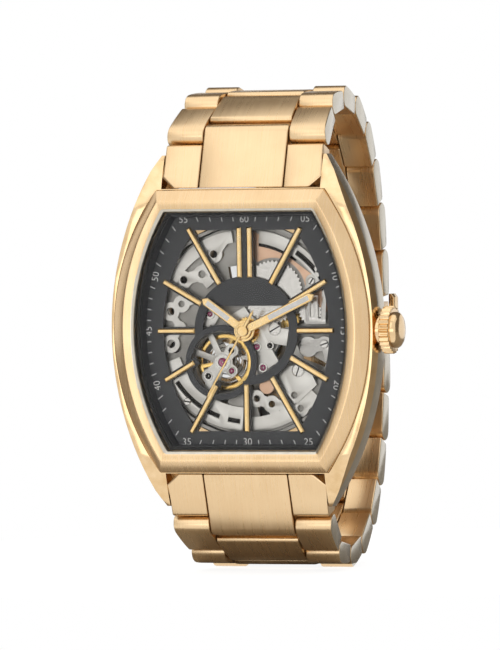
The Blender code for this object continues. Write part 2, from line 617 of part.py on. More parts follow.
def make_balance():
    rim = (circle(BALANCE_RADIUS, 40, BALANCE_AT), circle(BALANCE_RADIUS - BALANCE_RIM, 40, BALANCE_AT))
    wheel = washer("balance_wheel", rim[0], rim[1], BALANCE_D, "brass")
    inner_d = (BALANCE_D[0] + 0.05, BALANCE_D[1] - 0.05)
    for clock_angle in (20, 140, 260):
        arm = bar(0.2, BALANCE_RADIUS - 0.3, 0.55, clock_angle, BALANCE_AT)
        join(wheel, prism("arm", arm, inner_d, "brass"))
    staff_d = (REAR_BRIDGE_D[1] + MESH_GAP, FRONT_BRIDGE_D[0] - MESH_GAP)
    join(wheel, arbor("staff", BALANCE_AT, staff_d, 0.3, "brass", 12))
    join(wheel, arbor("collet", BALANCE_AT, (SPRING_D[0], BALANCE_D[0] + 0.1), 0.6, "brass", 14))
    set_origin(wheel, (BALANCE_AT[0], 0, BALANCE_AT[1]))
    coil = (HAIRSPRING_INNER, HAIRSPRING_PITCH, HAIRSPRING_TURNS)
    spring = spiral("hairspring", BALANCE_AT, SPRING_D, *coil, SPRING_WIRE, "steel")
    set_origin(spring, (BALANCE_AT[0], 0, BALANCE_AT[1]))
    strip = (BARREL_D[0] + 0.1, BARREL_D[1] - 0.7)
    coil = (MAINSPRING_INNER, MAINSPRING_PITCH, MAINSPRING_TURNS)
    main = spiral("mainspring", BARREL_AT, strip, *coil, SPRING_WIRE, "steel")
    set_origin(main, (BARREL_AT[0], 0, BARREL_AT[1]))
    fork = prism("pallet_fork", circle(0.32, 10, PALLET_AT), ESCAPE_D, "steel")
    thin = (ESCAPE_D[0] + 0.02, ESCAPE_D[1] - 0.02)
    heading = math.degrees(math.atan2(BALANCE_AT[0] - PALLET_AT[0], BALANCE_AT[1] - PALLET_AT[1]))
    join(fork, prism("lever", bar(0, 0.85, 0.3, heading, PALLET_AT), thin, "steel"))
    for side in (75, -75):
        join(fork, prism("pallet", bar(0, 1.15, 0.3, heading + side, PALLET_AT), thin, "steel"))
    between = (REAR_BRIDGE_D[1] + MESH_GAP, thin[1])
    join(fork, arbor("staff", PALLET_AT, between, 0.16, "steel"))
    set_origin(fork, (PALLET_AT[0], 0, PALLET_AT[1]))


def make_plates():
    plate = prism("main_plate", circle(PLATE_RADIUS, 40), PLATE_D, "steel")
    through = (PLATE_D[0] - 1, PLATE_D[1] + 1)
    cut(plate, arbor("centre_hole", (0, 0), through, 1.3, "steel", 20))
    cut(plate, arbor("balance_room", BALANCE_AT, through, BALANCE_RADIUS + 0.35, "steel", 36))
    cut(plate, arbor("barrel_hole", BARREL_AT, through, 0.6, "steel", 12))
    for clock_angle, distance, radius in PLATE_HOLES:
        at = bar(distance, distance, 0, clock_angle)[0]
        cut(plate, arbor("hole", at, through, radius, "steel", 14))
    for clock_angle, inner, reach, width in PLATE_SLOTS:
        cut(plate, prism("slot", bar(inner, reach, width, clock_angle), through, "steel"))
    ring = (circle(BORE_RADIUS - FIT, 40), circle(BORE_RADIUS - FIT - RING_THICK, 40))
    holder = washer("movement_ring", ring[0], ring[1], (REAR_BRIDGE_D[0], DIAL_D[0] - FIT), "steel")
    way_x = (STEM_INNER_X, BORE_RADIUS + 1)
    cut(holder, rod("stem_way", STEM_RADIUS + FIT, way_x, (-STEM_D, 0), 12, "steel"))
    front = prism("train_bridge", bar(-3.2, 6.3, 3.6, 150), FRONT_BRIDGE_D, "steel")
    for reach, width, clock_angle in BRIDGE_ARMS:
        arm = bar(0, reach, width, clock_angle)
        join(front, prism("arm", arm, inset_depths(FRONT_BRIDGE_D, 0.03), "steel"))
    above = (FRONT_BRIDGE_D[0] - 1, FRONT_BRIDGE_D[1] + 1)
    cut(front, arbor("ratchet_room", BARREL_AT, above, RATCHET_RADIUS + 0.2, "steel", 40))
    cut(front, arbor("centre_hole", (0, 0), above, 1.3, "steel", 20))
    cut(front, arbor("balance_room", BALANCE_AT, above, BALANCE_RING[0] + 0.1, "steel", 36))
    cock = prism("balance_bridge", circle(0.95, 20, BALANCE_AT), FRONT_BRIDGE_D, "steel")
    for clock_angle in (200, 290, 335):
        arm = bar(0, BALANCE_RING[1], 0.9, clock_angle, BALANCE_AT)
        join(cock, prism("arm", arm, inset_depths(FRONT_BRIDGE_D, 0.03), "steel"))
    rear = prism("rear_bridge", circle(PLATE_RADIUS, 40), REAR_BRIDGE_D, "steel")
    behind = (REAR_BRIDGE_D[0] - 1, REAR_BRIDGE_D[1] + 1)
    cut(rear, arbor("balance_room", BALANCE_AT, behind, 3.4, "steel", 24))
    for clock_angle in (60, 110, 165, 290, 340):
        cut(rear, prism("slot", bar(8.0, 13.0, 3.2, clock_angle), behind, "steel"))
    staff_bar = bar(-5.5, 5.5, 1.3, 320, BALANCE_AT)
    join(rear, prism("staff_bar", staff_bar, inset_depths(REAR_BRIDGE_D, 0.05), "steel"))


def make_rotor():
    steps = 24
    half = [math.pi * i / steps for i in range(steps + 1)]
    outer = [(-ROTOR_RADIUS * math.cos(a), -ROTOR_RADIUS * math.sin(a)) for a in half]
    rotor = prism("rotor", outer, ROTOR_D, "gold")
    thin = (ROTOR_D[0] + 0.05, ROTOR_D[1] - 0.05)
    join(rotor, prism("boss", circle(ROTOR_BOSS_RADIUS, 24), thin, "gold"))
    for clock_angle in (130, 230):
        at = bar(ROTOR_WINDOW_REACH, ROTOR_WINDOW_REACH, 0, clock_angle)[0]
        cut(rotor, prism("window", circle(ROTOR_WINDOW_RADIUS, 16, at), (0, ROTOR_D[1] + 1), "gold"))
    cut(rotor, arbor("bore", (0, 0), (0, ROTOR_D[1] + 1), BEARING_RADIUS + FIT, "gold", 20))
    set_origin(rotor, (0, 0, 0))
    bearing_d = (ROTOR_D[0], REAR_BRIDGE_D[0] - MESH_GAP)
    bearing = prism("rotor_bearing", circle(BEARING_RADIUS, 20), bearing_d, "steel")
    flange_d = (ROTOR_D[1] + FIT, REAR_BRIDGE_D[0] - 2 * MESH_GAP)
    join(bearing, prism("flange", circle(BEARING_FLANGE, 20), flange_d, "steel"))


# Bracelet
def loop_point(turn):
    """A point (y, z) of the pins' curve: turn runs from 0 at the front to pi at the back."""
    power = 2 / LOOP_POWER
    depth = abs(math.cos(turn)) ** power
    reach = -LOOP_FRONT if turn < math.pi / 2 else LOOP_BACK
    y = LOOP_CENTRE_Y + reach * depth
    return y, LOOP_HALF_HEIGHT * math.sin(turn) ** power


def halve(test, low, high):
    """The place between low and high where test stops being true."""
    for _ in range(50):
        middle = (low + high) / 2
        low, high = (middle, high) if test(middle) else (low, middle)
    return low


def walk(pitch):
    """Pins one pitch apart along the curve, from the case to the clasp."""
    turn = halve(lambda t: loop_point(t)[1] < FIRST_PIN_Z, 0.0, math.pi / 2)
    pins = [loop_point(turn)]
    for _ in range(ROWS):
        here = pins[-1]
        far = min(turn + 1.2, math.pi)
        turn = halve(lambda t: math.dist(loop_point(t), here) < pitch, turn, far)
        pins.append(loop_point(turn))
    return pins


PITCH = halve(lambda p: walk(p)[-1][1] > LAST_PIN_Z, 4.0, 9.0)
PINS = walk(PITCH)
LINK_RADIUS = LINK_THICK / 2


def half_width(pin):
    """Half the bracelet's width at a pin: a quick taper near the case."""
    share = (1 - pin / ROWS) ** 2
    return (WIDTH_AT_CLASP + (WIDTH_AT_CASE - WIDTH_AT_CLASP) * share) / 2


def end_link_point(z):
    """The y of the end link's middle plane at a height, on the line from the case to the first pin."""
    share = (z - END_LINK_Z) / (PINS[0][1] - END_LINK_Z)
    return -END_LINK_D + share * (PINS[0][0] + END_LINK_D)


class Link:
    """A frame along one link: u runs from its pin near the case to the next, v away from the wrist."""

    def __init__(self, start, end, side):
        self.side = side
        self.length = math.dist(start, end)
        self.start = start
        self.along = ((end[0] - start[0]) / self.length, (end[1] - start[1]) / self.length)

    def at(self, u, v):
        """World (y, z) of a point of the link."""
        y = self.start[0] + u * self.along[0] - v * self.along[1]
        z = self.start[1] + u * self.along[1] + v * self.along[0]
        return y, self.side * z

    def run(self, name, profile, x_low, x_high, finish):
        """A profile of (u, v) points run across the link. An end is an x, or a function of u."""
        ends = [x if callable(x) else (lambda u, fixed=x: fixed) for x in (x_low, x_high)]
        loops = [[(end(u),) + self.at(u, v) for u, v in profile] for end in ends]
        return solid(name, loops, finish)

    def pin(self, name, u, v, radius, x_low, x_high, steps=8):
        profile = [(u + a, v + b) for a, b in circle(radius, steps)]
        return self.run(name, profile, x_low, x_high, "gold")

    def origin(self, item, u=0.0, v=0.0):
        return set_origin(item, (0,) + self.at(u, v))


def nose(u, radius, way, steps=4):
    """Half a circle round a pin, from the outer face to the inner one, bulging towards way."""
    angles = [math.pi * i / steps for i in range(steps + 1)]
    return [(u + way * radius * math.sin(a), radius * math.cos(a)) for a in angles]


def make_row(side, number):
    """Two side pieces round the near pin, and a centre piece set half a pitch on, round the far pin."""
    link = Link(PINS[number - 1], PINS[number], side)
    label = "row_12_" if side > 0 else "row_6_"
    r, p, c = LINK_RADIUS, link.length, LINK_CHAMFER
    near, far = half_width(number - 1), half_width(number)
    last = p - r - LINK_GAP
    flank = nose(0, r, -1) + [(last, -r), (last, r - c), (last - c, r)]
    first = r + LINK_GAP
    middle = [(first + c, r), (first, r - c), (first, -r)] + list(reversed(nose(p, r, 1)))

    def edge(share, sign, gap=0.0):
        """The x of a long edge at u, on the row's taper."""
        return lambda u: sign * (share * (near + (far - near) * u / p) + gap)

    row = link.run(label + str(number), middle, edge(CENTRE_SHARE, -1), edge(CENTRE_SHARE, 1), "gold")
    centre = CENTRE_SHARE * near
    join(row, link.pin("bar", p / 2, 0, BAR_RADIUS, -centre - 1, centre + 1))
    for sign in (1, -1):
        join(row, link.run("flank", flank, edge(CENTRE_SHARE, sign, SEAM), edge(1.0, sign), "gold"))
    if not (side > 0 and number == 1):
        join(row, link.pin("pin", 0, 0, PIN_RADIUS, -centre - 1, centre + 1))
    cut(row, link.pin("bore", p, 0, PIN_BORE, -centre - 1, centre + 1))
    return link.origin(row, 0.0 if side < 0 else p)


def make_end_link(side):
    """The block between the lugs, with a tongue that reaches round the first pin."""
    start = (-END_LINK_D, END_LINK_Z)
    link = Link(start, PINS[0], side)
    r, length = LINK_RADIUS, link.length
    half = half_width(0)
    centre = CENTRE_SHARE * half
    last = length - r - LINK_GAP
    name = "end_link_12" if side > 0 else "end_link_6"
    body = [(last - LINK_CHAMFER, r), (-1.0, r), (-1.0, -r), (last, -r), (last, r - LINK_CHAMFER)]
    item = link.run(name, body, -half, half, "gold")
    tongue = [(last - 1, r), (last - 1, -r)] + list(reversed(nose(length, r, 1)))
    join(item, link.run("tongue", tongue, -centre + 0.01, centre - 0.01, "gold"))
    big = RIDGE_D + 4
    near_z = sorted((0.0, side * END_LINK_Z))
    cut(item, block("trim", (-half - 1, half + 1), (-big, big), near_z, "gold"))
    for hand in (1, -1):
        near, far = hand * (half - END_CHAMFER), hand * (half + 1)
        corner = [(near, 0), (far, 0), (far, END_CHAMFER + 1)]
        loops = [[(x, y, side * (END_LINK_Z + z)) for x, z in corner] for y in (-big, big)]
        cut(item, solid("corner", loops, "gold"))
        groove = (hand * centre - SEAM / 2, hand * centre + SEAM / 2)
        strip = [(-3, r - 0.5), (last + 1, r - 0.5), (last + 1, r + 1), (-3, r + 1)]
        cut(item, link.run("groove", strip, *groove, "gold"))
    cut(item, link.pin("bore", length, 0, PIN_BORE, -half, half, 12))
    bar_y = end_link_point(SPRING_BAR_Z) + SPRING_BAR_SET
    at = (bar_y, side * SPRING_BAR_Z)
    cut(item, rod("bar_bore", SPRING_BAR_RADIUS + FIT, (-half - 1, half + 1), at, 12, "gold"))
    bar_name = "spring_bar_12" if side > 0 else "spring_bar_6"
    rod(bar_name, SPRING_BAR_RADIUS, (-SPRING_BAR_REACH, SPRING_BAR_REACH), at, 12, "steel")


def clasp_frame(side):
    return Link(PINS[ROWS - 1], PINS[ROWS], side)


def hinge_place():
    """u and v of the clasp's outer hinge in the last link's frame."""
    return PITCH - BLADE_LENGTH, -(LINK_RADIUS + LINK_GAP + KNUCKLE_RADIUS)


def make_blade(side):
    """A folding blade: ears round the last pin, a plate under the links, and a knuckle on the base."""
    link = clasp_frame(side)
    p = link.length
    u, v = hinge_place()
    top = -(LINK_RADIUS + LINK_GAP)
    low = top - BLADE_THICK
    name = "clasp_blade_12" if side > 0 else "clasp_blade_6"
    plate = [(u, top), (u, low), (p + 0.9, low), (p + 0.9, top)]
    blade = link.run(name, plate, -BLADE_HALF, BLADE_HALF, "gold")
    notch = [(u - 1, top + 1), (u - 1, low - 1), (u + 1.05, low - 1), (u + 1.05, top + 1)]
    centre = CENTRE_SHARE * half_width(ROWS - 1) + SEAM
    for hand in (1, -1):
        cut(blade, link.run("notch", notch, hand * KNUCKLE_HALF, hand * (BLADE_HALF + 1), "gold"))
        foot = [(p + 0.9, low + 0.1), (p - 0.9, low + 0.1)]
        ear = nose(p, EAR_RADIUS, 1)[:3] + foot + nose(p, EAR_RADIUS, -1)[2:0:-1]
        join(blade, link.run("ear", ear, hand * centre, hand * (centre + EAR_WIDE), "gold"))
    join(blade, link.pin("knuckle", u, v, KNUCKLE_RADIUS, -KNUCKLE_HALF + 0.01, KNUCKLE_HALF - 0.01, 14))
    cut(blade, link.pin("bore", u, v, PIN_BORE - 0.1, -KNUCKLE_HALF - 1, KNUCKLE_HALF + 1, 12))
    join(blade, link.pin("pin", p, 0, PIN_RADIUS, -centre - 1, centre + 1))
    return link.origin(blade, p if side < 0 else u, 0.0 if side < 0 else v)


def make_clasp_base():
    """The inner plate, with a hinge at each end and a housing for each button."""
    u, v = hinge_place()
    upper, lower = clasp_frame(1), clasp_frame(-1)
    hinge_y, hinge_z = upper.at(u, v)
    inner_y = upper.at(u, -(LINK_RADIUS + LINK_GAP + BLADE_THICK))[0] - LINK_GAP
    plate_y = (inner_y - BASE_THICK, inner_y)
    plate_z = (-hinge_z + KNUCKLE_RADIUS + LINK_GAP, hinge_z - KNUCKLE_RADIUS - LINK_GAP)
    base = block("clasp_base", (-BASE_HALF, BASE_HALF), plate_y, plate_z, "gold")
    for frame in (upper, lower):
        for hand in (1, -1):
            x = sorted((hand * (KNUCKLE_HALF + SEAM), hand * (BLADE_HALF - 0.4)))
            join(base, frame.pin("eye", u, v, KNUCKLE_RADIUS, x[0], x[1], 14))
            web_z = sorted((frame.side * (hinge_z - 2.0), frame.side * hinge_z))
            web = block("web", (x[0] + 0.01, x[1] - 0.01), (plate_y[0] + 0.1, hinge_y - 0.3), web_z, "gold")
            join(base, web)
        join(base, frame.pin("pin", u, v, PIN_RADIUS - 0.12, -KNUCKLE_HALF - 1, KNUCKLE_HALF + 1))
    middle_y = PINS[ROWS][0]
    for hand in (1, -1):
        x = sorted((hand * HOUSING_INNER_X, hand * (BASE_HALF - 0.02)))
        top = middle_y + EAR_RADIUS
        join(base, block("housing", x, (plate_y[0] + 0.1, top), (-HOUSING_HALF_Z, HOUSING_HALF_Z), "gold"))
        room = sorted((hand * (HOUSING_INNER_X + 0.35), hand * (BASE_HALF + 1)))
        y = (middle_y - BUTTON_HALF_Y - FIT, middle_y + BUTTON_HALF_Y + FIT)
        z = BUTTON_SHANK_Z + FIT
        cut(base, block("button_room", room, y, (-z, z), "gold"))
    set_origin(base, (0,) + lower.at(u, v))
    for hand, name in ((1, "button_right"), (-1, "button_left")):
        y = (middle_y - BUTTON_HALF_Y, middle_y + BUTTON_HALF_Y)
        x = sorted((hand * (HOUSING_INNER_X + 0.45 + BUTTON_TRAVEL), hand * (BUTTON_HEAD_X + 0.2)))
        button = block(name, x, y, (-BUTTON_SHANK_Z, BUTTON_SHANK_Z), "gold")
        head = [(-BUTTON_HALF_Z, BUTTON_HEAD_X), (BUTTON_HALF_Z, BUTTON_HEAD_X)]
        head += [(BUTTON_HALF_Z, BUTTON_END_X - 0.4), (BUTTON_HALF_Z - 0.6, BUTTON_END_X)]
        head += [(-BUTTON_HALF_Z + 0.6, BUTTON_END_X), (-BUTTON_HALF_Z, BUTTON_END_X - 0.4)]
        loops = [[(hand * px, y_at, z) for z, px in head] for y_at in (y[0] - 0.2, y[1] + 0.2)]
        join(button, solid("head", loops, "gold"))
        set_origin(button, (hand * BUTTON_END_X, middle_y, 0))


def to_metres():
    """Scale every finished body from millimetres."""
    for item in bpy.data.objects:
        item.data.transform(Matrix.Scale(MM, 4))
        item.location *= MM


def make_watch():
    make_case()
    make_bezel()
    make_back()
    make_crown()
    make_dial()
    make_hands()
    make_train()
    make_barrel()
    make_balance()
    make_plates()
    make_rotor()
    for side in (1, -1):
        make_end_link(side)
        for number in range(1, ROWS + 1):
            make_row(side, number)
        make_blade(side)
    make_clasp_base()
    to_metres()


make_watch()
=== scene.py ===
"""Looks of a skeleton wristwatch: gold-plated case and bracelet, open dial, and the movement behind it.

Pieces are modelled in millimetres in the part's own frame and scaled to metres when they are placed.
+X points to the crown, +Z to twelve o'clock, the dial faces -Y, and a depth d gives y = -d.
"""
import json
import math

import bmesh
import bpy
from mathutils import Matrix, Vector


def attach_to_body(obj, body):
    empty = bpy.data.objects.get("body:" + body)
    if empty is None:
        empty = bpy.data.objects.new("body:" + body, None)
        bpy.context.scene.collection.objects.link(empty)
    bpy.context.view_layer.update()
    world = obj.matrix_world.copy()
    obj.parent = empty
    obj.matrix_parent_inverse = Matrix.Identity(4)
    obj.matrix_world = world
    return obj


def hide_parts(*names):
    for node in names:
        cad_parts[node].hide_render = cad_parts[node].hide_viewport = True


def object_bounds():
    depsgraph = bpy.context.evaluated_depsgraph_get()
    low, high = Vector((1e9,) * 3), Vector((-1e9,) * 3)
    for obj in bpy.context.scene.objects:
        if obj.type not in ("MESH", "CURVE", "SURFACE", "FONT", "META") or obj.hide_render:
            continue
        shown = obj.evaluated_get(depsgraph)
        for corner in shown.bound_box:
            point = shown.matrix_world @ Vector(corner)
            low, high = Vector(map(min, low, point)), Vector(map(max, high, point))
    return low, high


MM = 0.001
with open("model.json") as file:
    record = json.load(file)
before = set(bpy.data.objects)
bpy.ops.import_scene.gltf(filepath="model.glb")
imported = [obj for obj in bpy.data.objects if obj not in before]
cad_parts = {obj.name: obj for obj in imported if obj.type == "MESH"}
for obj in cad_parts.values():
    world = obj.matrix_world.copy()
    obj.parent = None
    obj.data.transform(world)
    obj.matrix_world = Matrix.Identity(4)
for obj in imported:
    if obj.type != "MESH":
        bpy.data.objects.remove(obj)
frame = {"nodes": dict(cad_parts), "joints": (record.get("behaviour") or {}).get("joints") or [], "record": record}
CAD_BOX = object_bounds()
HEAD = "head"

# Case, bezel and dial outlines: half height, half width at the corners, half width at the middle
CASE_BELLY = (25.5, 12.6, 20.43)
CASE_FOOT = (22.8, 12.3, 17.9)
CASE_SHOULDER = (25.0, 12.5, 19.95)
BEZEL_OUTER = (20.5, 12.8, 19.55)
BEZEL_RIDGE = (18.9, 12.2, 17.75)
BEZEL_LIP = (17.3, 11.3, 16.1)
DIAL_OUTLINE = (17.6, 11.6, 16.35)
DIAL_WINDOW = (14.6, 7.6, 12.7)
SIDE_STEPS = 40
FIT = 0.1

# Depths of the case and bezel, and a depth in front of everything that cutters reach
CASE_FOOT_D = 2.0
BELLY_D = (5.8, 8.9)
SHOULDER_D = 10.3
BEZEL_FOOT_D = 8.75
LEDGE_D = 10.0
CLEAR_D = 13.0

# Lugs: where their curve starts and ends, its steps, its top and how fast it falls
LUG_START = 15.5
LUG_END = 27.5
LUG_STEP = 1.5
LUG_TOP_D = 10.45
LUG_CURVE = 0.0255

# Crown
FLUTES = 28
STEPS_PER_FLUTE = 8
CROWN_RADIUS = 3.45
FLUTE_DEPTH = 0.32
CROWN_FOOT_X = 20.85

# Movement: places as (x, z), depths, the rim's radius, and the steps of round outlines
BALANCE_AT = (-3.9, -4.6)
BARREL_AT = (3.9, 5.6)
STEM_D = 7.36
DIAL_D = (7.9, 8.3)
BRIDGE_FRONT_D = 7.5
COVER_D = (7.02, 7.5)
PLATE_D = 6.92
RIM_RADIUS = 14.7
LOBE_STEPS = 40
POST_STEPS = 36
HOLE_STEPS = 28

# Dial furniture
PLATE_EDGE = 0.04
INDEX_WIDTH = 0.72
INDEX_D = (8.0, 8.75)
INDEX_OUTER = (15.0, 17.2, 14.4, 13.5, 14.4, 17.1, 14.7, 17.1, 14.4, 13.5, 14.4, 17.2)

# Bracelet
ROWS = 8
LINK_RADIUS = 1.6
LINK_GAP = 0.25
SEAM = 0.15
CENTRE_SHARE = 0.533
WIDTH_AT_CASE = 24.0
WIDTH_AT_CLASP = 18.0
END_LINK_Z = 20.75
END_LINK_D = 8.1
RECESS_HALF = 12.15
CROWN_FALL = 0.5
LINK_CORNER = 0.35
END_LINK_TAPER = 1.2

# Finishing: degrees that count as flat and as sharp, the brush lines' stretch, and the bumps' depth
FLAT_ANGLE = 0.5
SHARP_ANGLE = 30.0
ALONG_BRACELET = (4000.0, 120.0, 120.0)
BUMP_DEPTH = 0.00003

# Studio, in metres and degrees, with the camera's width and focal length in photo pixels and sensor in mm
FLOOR_RADIUS = 0.08
FLOOR_GAP = 0.0002
CAMERA_AZIMUTH = 19.0
CAMERA_ELEVATION = 1.9
CAMERA_DISTANCE = 1.11
CAMERA_ROLL = -0.9
PHOTO_WIDTH = 500.0
FOCAL_PIXELS = 7659.0
SENSOR = 36.0


# Materials
def linear(code):
    """An sRGB hex colour as linear values."""
    parts = [int(code[i:i + 2], 16) / 255 for i in (1, 3, 5)]
    return [c / 12.92 if c <= 0.04045 else ((c + 0.055) / 1.055) ** 2.4 for c in parts] + [1.0]


def attach(material, node, inputs):
    """Sets a node's inputs, as values or links."""
    for key, value in inputs.items():
        if isinstance(value, bpy.types.NodeSocket):
            material.node_tree.links.new(value, node.inputs[key])
        else:
            node.inputs[key].default_value = value


def add(material, kind, inputs=None, **settings):
    """A new node with its settings and inputs."""
    node = material.node_tree.nodes.new(kind)
    for key, value in settings.items():
        setattr(node, key, value)
    attach(material, node, inputs or {})
    return node


def new_material(name):
    """A material, its shader, and the place on the part that its textures read."""
    material = bpy.data.materials.new(name)
    material.use_nodes = True
    place = add(material, "ShaderNodeTexCoord").outputs["Object"]
    return material, material.node_tree.nodes["Principled BSDF"], place


def ramp(material, factor, stops):
    """A colour ramp through (place, hex) stops."""
    node = add(material, "ShaderNodeValToRGB", {"Fac": factor})
    elements = node.color_ramp.elements
    while len(elements) < len(stops):
        elements.new(0.5)
    for element, (place, code) in zip(elements, stops):
        element.position = place
        element.color = linear(code)
    return node.outputs["Color"]


def brushed_gold(name, light, dark, rough):
    """Gold-plated steel, satin-brushed: fine lines along the brush, and long highlights across it."""
    material, shader, place = new_material(name)
    stretch = {"Vector": place, "Scale": ALONG_BRACELET}
    lines = add(material, "ShaderNodeMapping", stretch).outputs["Vector"]
    # Brush lines are about 0.05 mm apart on the real part, and drawn at 0.25 mm so that they show
    scale = {"Vector": lines, "Scale": 1.0, "Detail": 4.0, "Roughness": 0.6}
    grain = add(material, "ShaderNodeTexNoise", scale).outputs["Fac"]
    cloud = add(material, "ShaderNodeTexNoise", {"Vector": place, "Scale": 220.0, "Detail": 2.0})
    mixed = add(material, "ShaderNodeMath", {0: grain, 1: cloud.outputs["Fac"]}, operation="ADD")
    half = add(material, "ShaderNodeMath", {0: mixed.outputs[0], 1: 0.5}, operation="MULTIPLY")
    reach = {"Value": grain, "To Min": rough - 0.05, "To Max": rough + 0.06}
    wear = add(material, "ShaderNodeMapRange", reach).outputs[0]
    bump = add(material, "ShaderNodeBump", {"Height": grain, "Strength": 0.06, "Distance": BUMP_DEPTH})
    colour = ramp(material, half.outputs[0], ((0.3, dark), (0.7, light)))
    attach(material, shader, {"Base Color": colour, "Roughness": wear, "Metallic": 1.0})
    attach(material, shader, {"Normal": bump.outputs["Normal"]})
    return material


def polished_gold(name, light, dark, rough):
    """Gold-plated steel, buffed: sharp reflections, with faint hazing from handling."""
    material, shader, place = new_material(name)
    scale = {"Vector": place, "Scale": 600.0, "Detail": 5.0}
    haze = add(material, "ShaderNodeTexNoise", scale).outputs["Fac"]
    reach = {"Value": haze, "To Min": rough * 0.6, "To Max": rough * 1.6}
    wear = add(material, "ShaderNodeMapRange", reach).outputs[0]
    colour = ramp(material, haze, ((0.3, dark), (0.7, light)))
    attach(material, shader, {"Base Color": colour, "Roughness": wear, "Metallic": 1.0})
    return material


def blasted_metal(name, light, dark, rough):
    """Plate metal blasted with fine glass beads: an even matt sparkle of tiny pits."""
    material, shader, place = new_material(name)
    # Bead pits are about 0.03 mm wide, and drawn at 0.2 mm so that they show
    scale = {"Vector": place, "Scale": 5000.0, "Detail": 3.0, "Roughness": 0.7}
    pits = add(material, "ShaderNodeTexNoise", scale).outputs["Fac"]
    broad = add(material, "ShaderNodeTexNoise", {"Vector": place, "Scale": 350.0, "Detail": 2.0})
    reach = {"Value": pits, "To Min": rough - 0.08, "To Max": rough + 0.1}
    wear = add(material, "ShaderNodeMapRange", reach).outputs[0]
    bump = add(material, "ShaderNodeBump", {"Height": pits, "Strength": 0.25, "Distance": BUMP_DEPTH})
    colour = ramp(material, broad.outputs["Fac"], ((0.3, dark), (0.7, light)))
    attach(material, shader, {"Base Color": colour, "Roughness": wear, "Metallic": 1.0})
    attach(material, shader, {"Normal": bump.outputs["Normal"]})
    return material


def turned_metal(name, light, dark, rough):
    """Wheel metal finished on a lathe and polished: close grain with bright edges."""
    material, shader, place = new_material(name)
    scale = {"Vector": place, "Scale": 9000.0, "Detail": 2.0}
    grain = add(material, "ShaderNodeTexNoise", scale).outputs["Fac"]
    reach = {"Value": grain, "To Min": rough - 0.06, "To Max": rough + 0.08}
    wear = add(material, "ShaderNodeMapRange", reach).outputs[0]
    colour = ramp(material, grain, ((0.3, dark), (0.7, light)))
    attach(material, shader, {"Base Color": colour, "Roughness": wear, "Metallic": 1.0})
    return material


def dial_lacquer():
    """Charcoal lacquer on brass, satin: a soft sheen over a faint orange-peel."""
    material, shader, place = new_material("charcoal_dial_lacquer")
    scale = {"Vector": place, "Scale": 900.0, "Detail": 3.0}
    peel = add(material, "ShaderNodeTexNoise", scale).outputs["Fac"]
    bump = add(material, "ShaderNodeBump", {"Height": peel, "Strength": 0.03, "Distance": BUMP_DEPTH})
    wear = add(material, "ShaderNodeMapRange", {"Value": peel, "To Min": 0.38, "To Max": 0.5}).outputs[0]
    colour = ramp(material, peel, ((0.3, "#2B2C2E"), (0.7, "#353638")))
    attach(material, shader, {"Base Color": colour, "Roughness": wear, "Coat Weight": 0.15})
    attach(material, shader, {"Normal": bump.outputs["Normal"]})
    return material


def printed_ink(name, light, dark, rough):
    """Printed ink, luminous paint or coated card: matt, a little uneven in cover."""
    material, shader, place = new_material(name)
    scale = {"Vector": place, "Scale": 1500.0, "Detail": 3.0}
    cover = add(material, "ShaderNodeTexNoise", scale).outputs["Fac"]
    colour = ramp(material, cover, ((0.3, dark), (0.65, light)))
    reach = {"Value": cover, "To Min": rough, "To Max": rough + 0.2}
    wear = add(material, "ShaderNodeMapRange", reach).outputs[0]
    attach(material, shader, {"Base Color": colour, "Roughness": wear})
    return material


def ruby():
    """Synthetic ruby bearing stones: deep pink, glassy."""
    material, shader, place = new_material("synthetic_ruby")
    depth = add(material, "ShaderNodeTexNoise", {"Vector": place, "Scale": 1200.0})
    colour = ramp(material, depth.outputs["Fac"], ((0.35, "#7E1247"), (0.65, "#B8246E")))
    attach(material, shader, {"Base Color": colour, "Roughness": 0.08, "IOR": 1.76, "Coat Weight": 0.6})
    return material


def mineral_glass():
    """Flat mineral glass: clear, with a weak even reflection."""
    material, shader, place = new_material("mineral_glass")
    smear = add(material, "ShaderNodeTexNoise", {"Vector": place, "Scale": 90.0, "Detail": 2.0})
    reach = {"Value": smear.outputs["Fac"], "To Min": 0.05, "To Max": 0.09}
    film = add(material, "ShaderNodeMapRange", reach).outputs[0]
    attach(material, shader, {"Base Color": linear("#0C0E10"), "Roughness": 0.03, "IOR": 1.52})
    attach(material, shader, {"Alpha": film})
    return material


def nitrile_rubber():
    """Moulded nitrile seal: black and matt."""
    material, shader, place = new_material("nitrile_rubber")
    skin = add(material, "ShaderNodeTexNoise", {"Vector": place, "Scale": 1200.0, "Detail": 3.0})
    colour = ramp(material, skin.outputs["Fac"], ((0.3, "#131313"), (0.7, "#222222")))
    attach(material, shader, {"Base Color": colour, "Roughness": 0.65})
    return material


GOLD_SATIN = brushed_gold("gold_plate_brushed", "#EACDA3", "#DEBE93", 0.28)
GOLD_SATIN_BEZEL = brushed_gold("gold_plate_brushed_bezel", "#E6C89E", "#D9B88C", 0.26)
GOLD_POLISH = polished_gold("gold_plate_polished", "#EBCDA2", "#DDBB8B", 0.14)
# A polished gold in pale grey: its colour paints the white-grey reflection that polished sides and the bezel's
# inner lip show
GOLD_PAINTED_REFLECTION = polished_gold("gold_plate_pale_painted_reflection", "#CFC8BA", "#BFB8AA", 0.2)
GOLD_APPLIED = polished_gold("gold_plate_applied", "#EDD09C", "#DDB97C", 0.22)
STEEL_BLASTED = blasted_metal("blasted_nickel_plate", "#DAD7D0", "#C8C5BE", 0.38)
STEEL_SMOOTH = turned_metal("polished_steel", "#CFCCC6", "#B4B1AB", 0.24)
